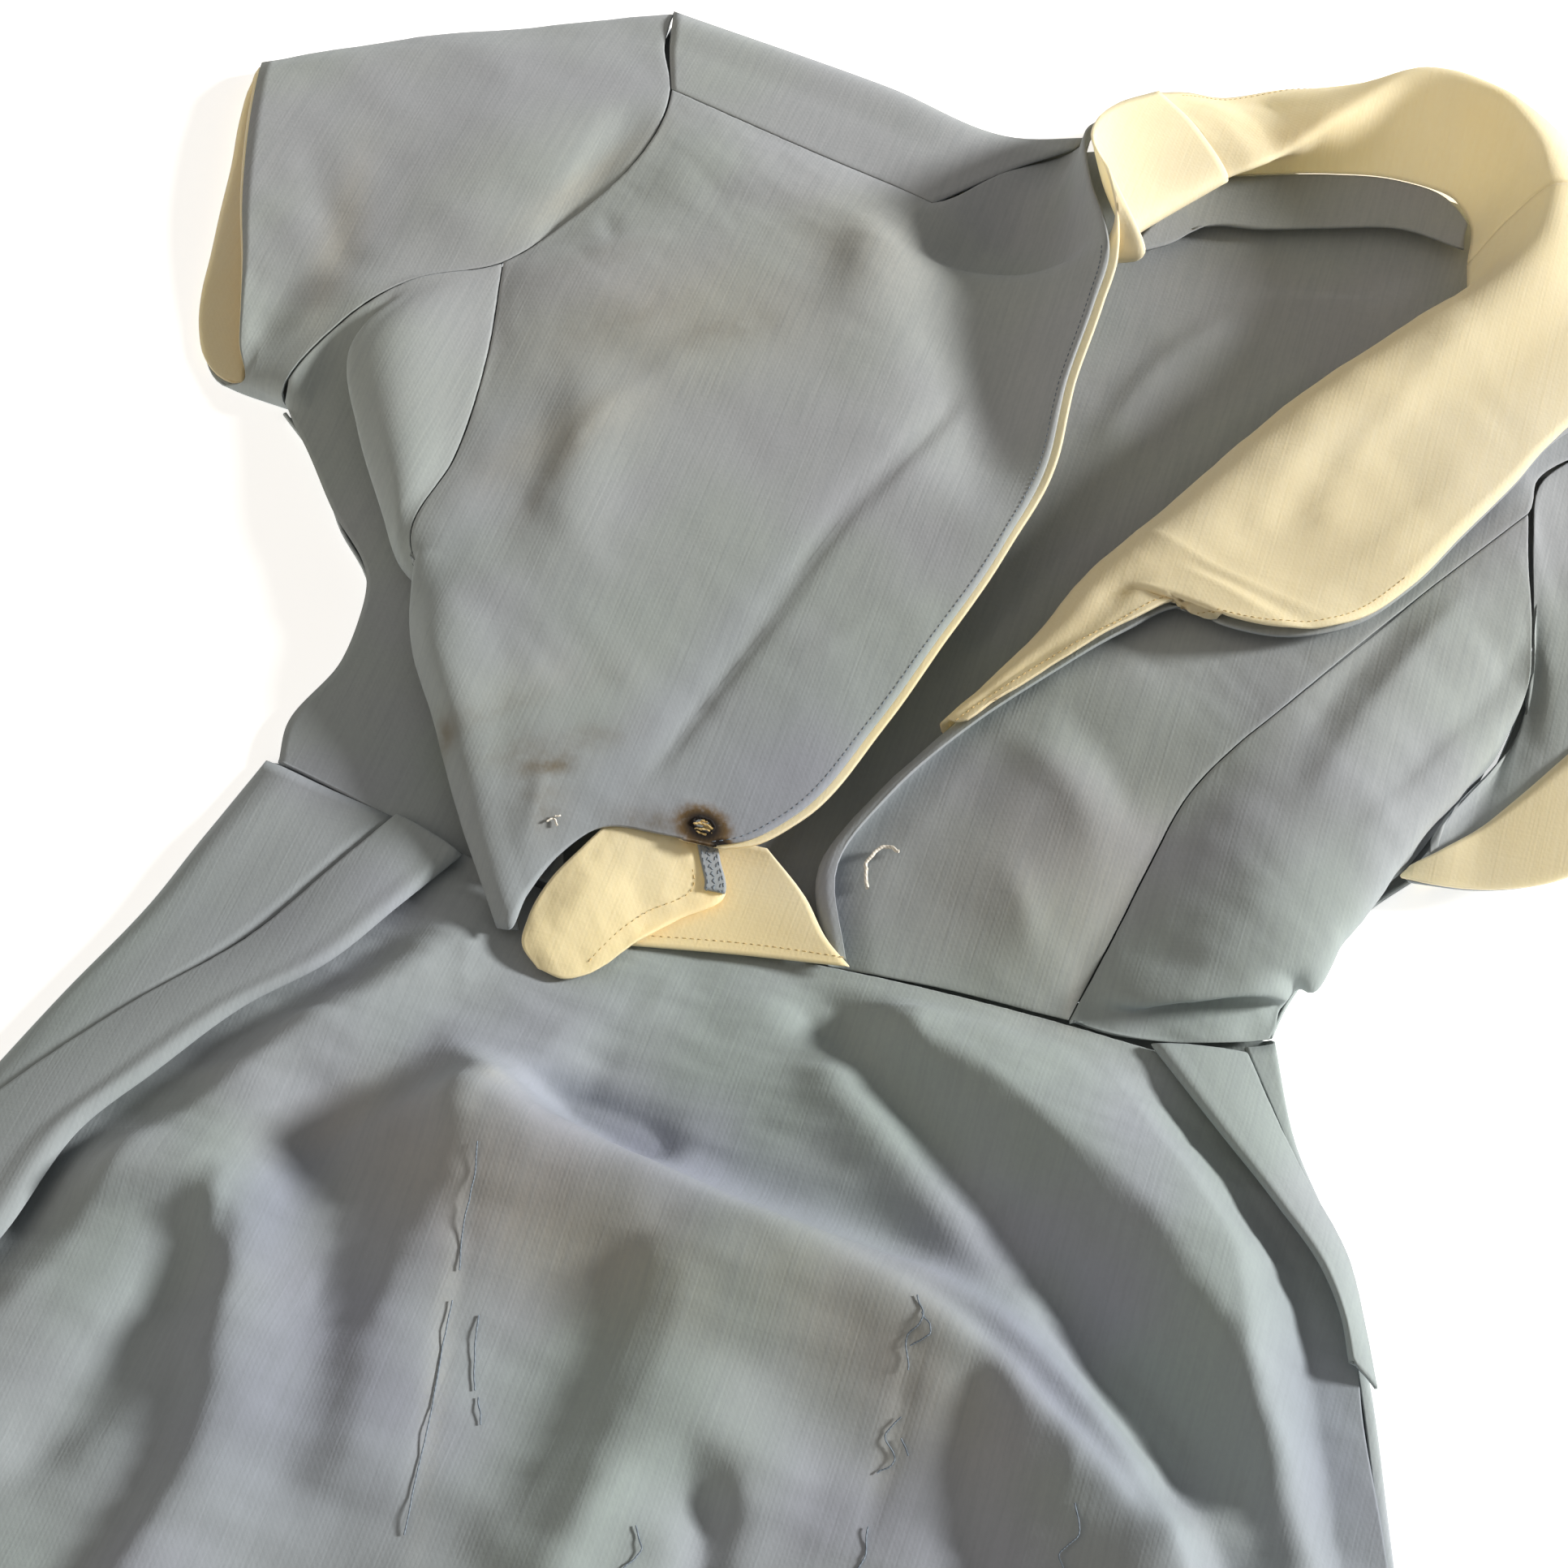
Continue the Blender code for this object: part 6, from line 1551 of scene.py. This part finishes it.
def makeStitches():
    tree, keys = stitchTree("stitchRow")
    s = stitchSettings
    values = {"Pitch": s["pitch"] * mm, "Size": (s["long"] * mm, s["wide"] * mm, s["tall"] * mm),
              "Uneven": s["uneven"]}
    up = s["lift"]
    front = frontRightGrid(frontRightSettings, True)
    placket, face = plainGrid(placketSettings), plainGrid(waistFacingSettings)
    collar = collarGrid(collarSettings)
    tape = tapeGrid(tapeSettings, waistFacingSettings)
    zigzag = [tape[k, 2 if k % 2 else -3] + (0, 0, up) for k in range(len(tape))]
    rows = {
        "tapeStitches": ("blueThread", [np.array(zigzag), tape[:, 1] + (0, 0, up), tape[:, -2] + (0, 0, up)]),
        "lapelStitches": ("blueThread", [inFrom(front, "right", 3.2, up, 0.30, 0.985)]),
        "stripStitches": ("creamThread", [inFrom(facingLeftLaid(facingLeftSettings, frontLeftSettings),
                                                 "right", 4.0, wall + up, 0.30, 1.0)]),
        "collarStitches": ("creamThread", [inFrom(collar, "right", 5.0, up, 0.1, 1.0)]),
        "placketStitches": ("creamThread", [inFrom(placket, "bottom", 4.5, up)]),
        "facingStitches": ("creamThread", [inFrom(face, "right", 12.0, up, 0.0, 0.9)]),
    }
    for name, (cloth, paths) in rows.items():
        grown(name, paths, tree, keys, dict(values, Thread=materials[cloth]))


threadPaths = {
    # name: thread, radius, slackness, paths in plan, how high over the cloth
    "buttonThread": ("whiteThread", 0.75, 1.0, (
        ((41, 26), (35, 27), (31, 22), (31, 15), (34, 8)),)),
    "fluff": ("whiteThread", 0.4, 0.5, (
        ((-84, -10), (-82, -8), (-80, -10)), ((-82, -7), (-80, -6)))),
    "burntFacing": ("creamThread", 0.55, 0.5, (
        ((-33, 7), (-29, 8), (-25, 7)), ((-32, 5.5), (-28, 6), (-25, 5.5)), ((-31, 9), (-28, 9.5)),
        ((-31, 4.5), (-27, 4)))),
}
snagPaths = (
    ((-57, -146), (-54, -160), (-53, -172), (-49, -186)),
    ((-48, -196), (-45, -212), (-41, -232), (-37, -256), (-34, -274)),
    ((-38, -198), (-34, -212), (-30, -222)), ((100, -153), (104, -160), (101, -166), (104, -176)),
    ((103, -158), (108, -163), (103, -169)), ((106, -190), (103, -197), (108, -203), (104, -209)),
    ((108, -196), (112, -201)), ((106, -226), (108, -236), (105, -246)),
    ((167, -204), (171, -213), (167, -220), (172, -228)), ((36, -250), (40, -256), (37, -264)),
    ((-28, -224), (-24, -232)),
)


def makeThreads():
    tree, keys = threadTree("looseThread")
    front = frontRightGrid(frontRightSettings, True)
    left = frontLeftGrid(frontLeftSettings, 9, 9)
    skirt = skirtFrontGrid(skirtFrontSettings)
    sunk = front - (0, 0, 1.6)
    grounds = {"buttonThread": left, "fluff": front, "burntFacing": sunk}
    for name, (cloth, radius, slack, paths) in threadPaths.items():
        made = [wiggled(onCloth(grounds[name], path, radius + 0.6), slack, k + 0.5)
                for k, path in enumerate(paths)]
        grown(name, made, tree, keys, {"Radius": radius * mm, "Thread": materials[cloth]})
    snags = [wiggled(onCloth(skirt, path, 0.35), 0.6, k * 1.7) for k, path in enumerate(snagPaths)]
    grown("skirtSnags", snags, tree, keys, {"Radius": 0.26 * mm, "Thread": materials["blueThread"]})
    print("threads made")


makeStitches()
makeThreads()


# floor, light and camera

studioSettings = {
    "floor": "#FEFEFD", "floorSize": 3.0,
    # towards each light, power, spread in degrees, colour
    "suns": {
        "windowSun": ((0.86, 0.37, 0.35), 5.1, 11, "#FFFBF5"),
        "roomBounce": ((-0.60, -0.45, 0.60), 0.60, 85, "#FFEBD0"),
    },
    "fill": "#EEEAE4", "fillPower": 0.30, "floorGlow": 0.60,
    "target": (-0.0122, 0.0514, 0.0), "elevation": 56, "heading": 18, "distance": 1.12, "lens": 30,
}


def makeStudio(s):
    mesh = bpy.data.meshes.new("floor")
    bm = bmesh.new()
    bmesh.ops.create_grid(bm, x_segments=24, y_segments=24, size=s["floorSize"],
                          matrix=Matrix.Translation((0, 0, -0.0004)))
    bm.to_mesh(mesh)
    bm.free()
    floor = addObject("floor", mesh)
    paper, tree, shader = startMaterial("matPaper", {"Roughness": 0.9, "Specular IOR Level": 0.1})
    place = addNode(tree, "ShaderNodeTexCoord")
    grain = addNode(tree, "ShaderNodeTexNoise", {"Scale": 220.0, "Detail": 3.0},
                    {"Vector": place.outputs["Object"]}).outputs[0]
    tree.links.new(mixColor(tree, sumOf(tree, "MULTIPLY", grain, 0.08), hexColor(s["floor"]),
                            hexColor("#DDDBD8")), shader.inputs["Base Color"])
    shader.inputs["Emission Color"].default_value = hexColor(s["floor"])
    shader.inputs["Emission Strength"].default_value = s["floorGlow"]
    mesh.materials.append(paper)

    for name, (way, power, spread, color) in s["suns"].items():
        sun = bpy.data.lights.new(name, "SUN")
        sun.energy, sun.angle, sun.color = power, math.radians(spread), hexColor(color)[:3]
        lamp = addObject(name, sun)
        lamp.rotation_mode = "QUATERNION"
        lamp.rotation_quaternion = Vector(way).to_track_quat("Z", "Y")
    world = bpy.data.worlds.new("studio")
    bpy.context.scene.world = world
    world.use_nodes = True
    world.node_tree.nodes["Background"].inputs[0].default_value = hexColor(s["fill"])
    world.node_tree.nodes["Background"].inputs[1].default_value = s["fillPower"]

    a, e = math.radians(s["heading"]), math.radians(s["elevation"])
    forward = Vector((-math.sin(a) * math.cos(e), math.cos(a) * math.cos(e), -math.sin(e)))
    lens = bpy.data.cameras.new("photoCamera")
    lens.sensor_fit = "HORIZONTAL"
    lens.angle = math.radians(s["lens"])
    camera = addObject("photoCamera", lens)
    camera.location = Vector(s["target"]) - forward * s["distance"]
    camera.rotation_mode = "QUATERNION"
    camera.rotation_quaternion = forward.to_track_quat("-Z", "Y")
    bpy.context.scene.camera = camera
    bpy.context.scene.view_settings.view_transform = "Standard"   # plain studio colours


makeStudio(studioSettings)
print("studio ready")

bpy.context.view_layer.update()
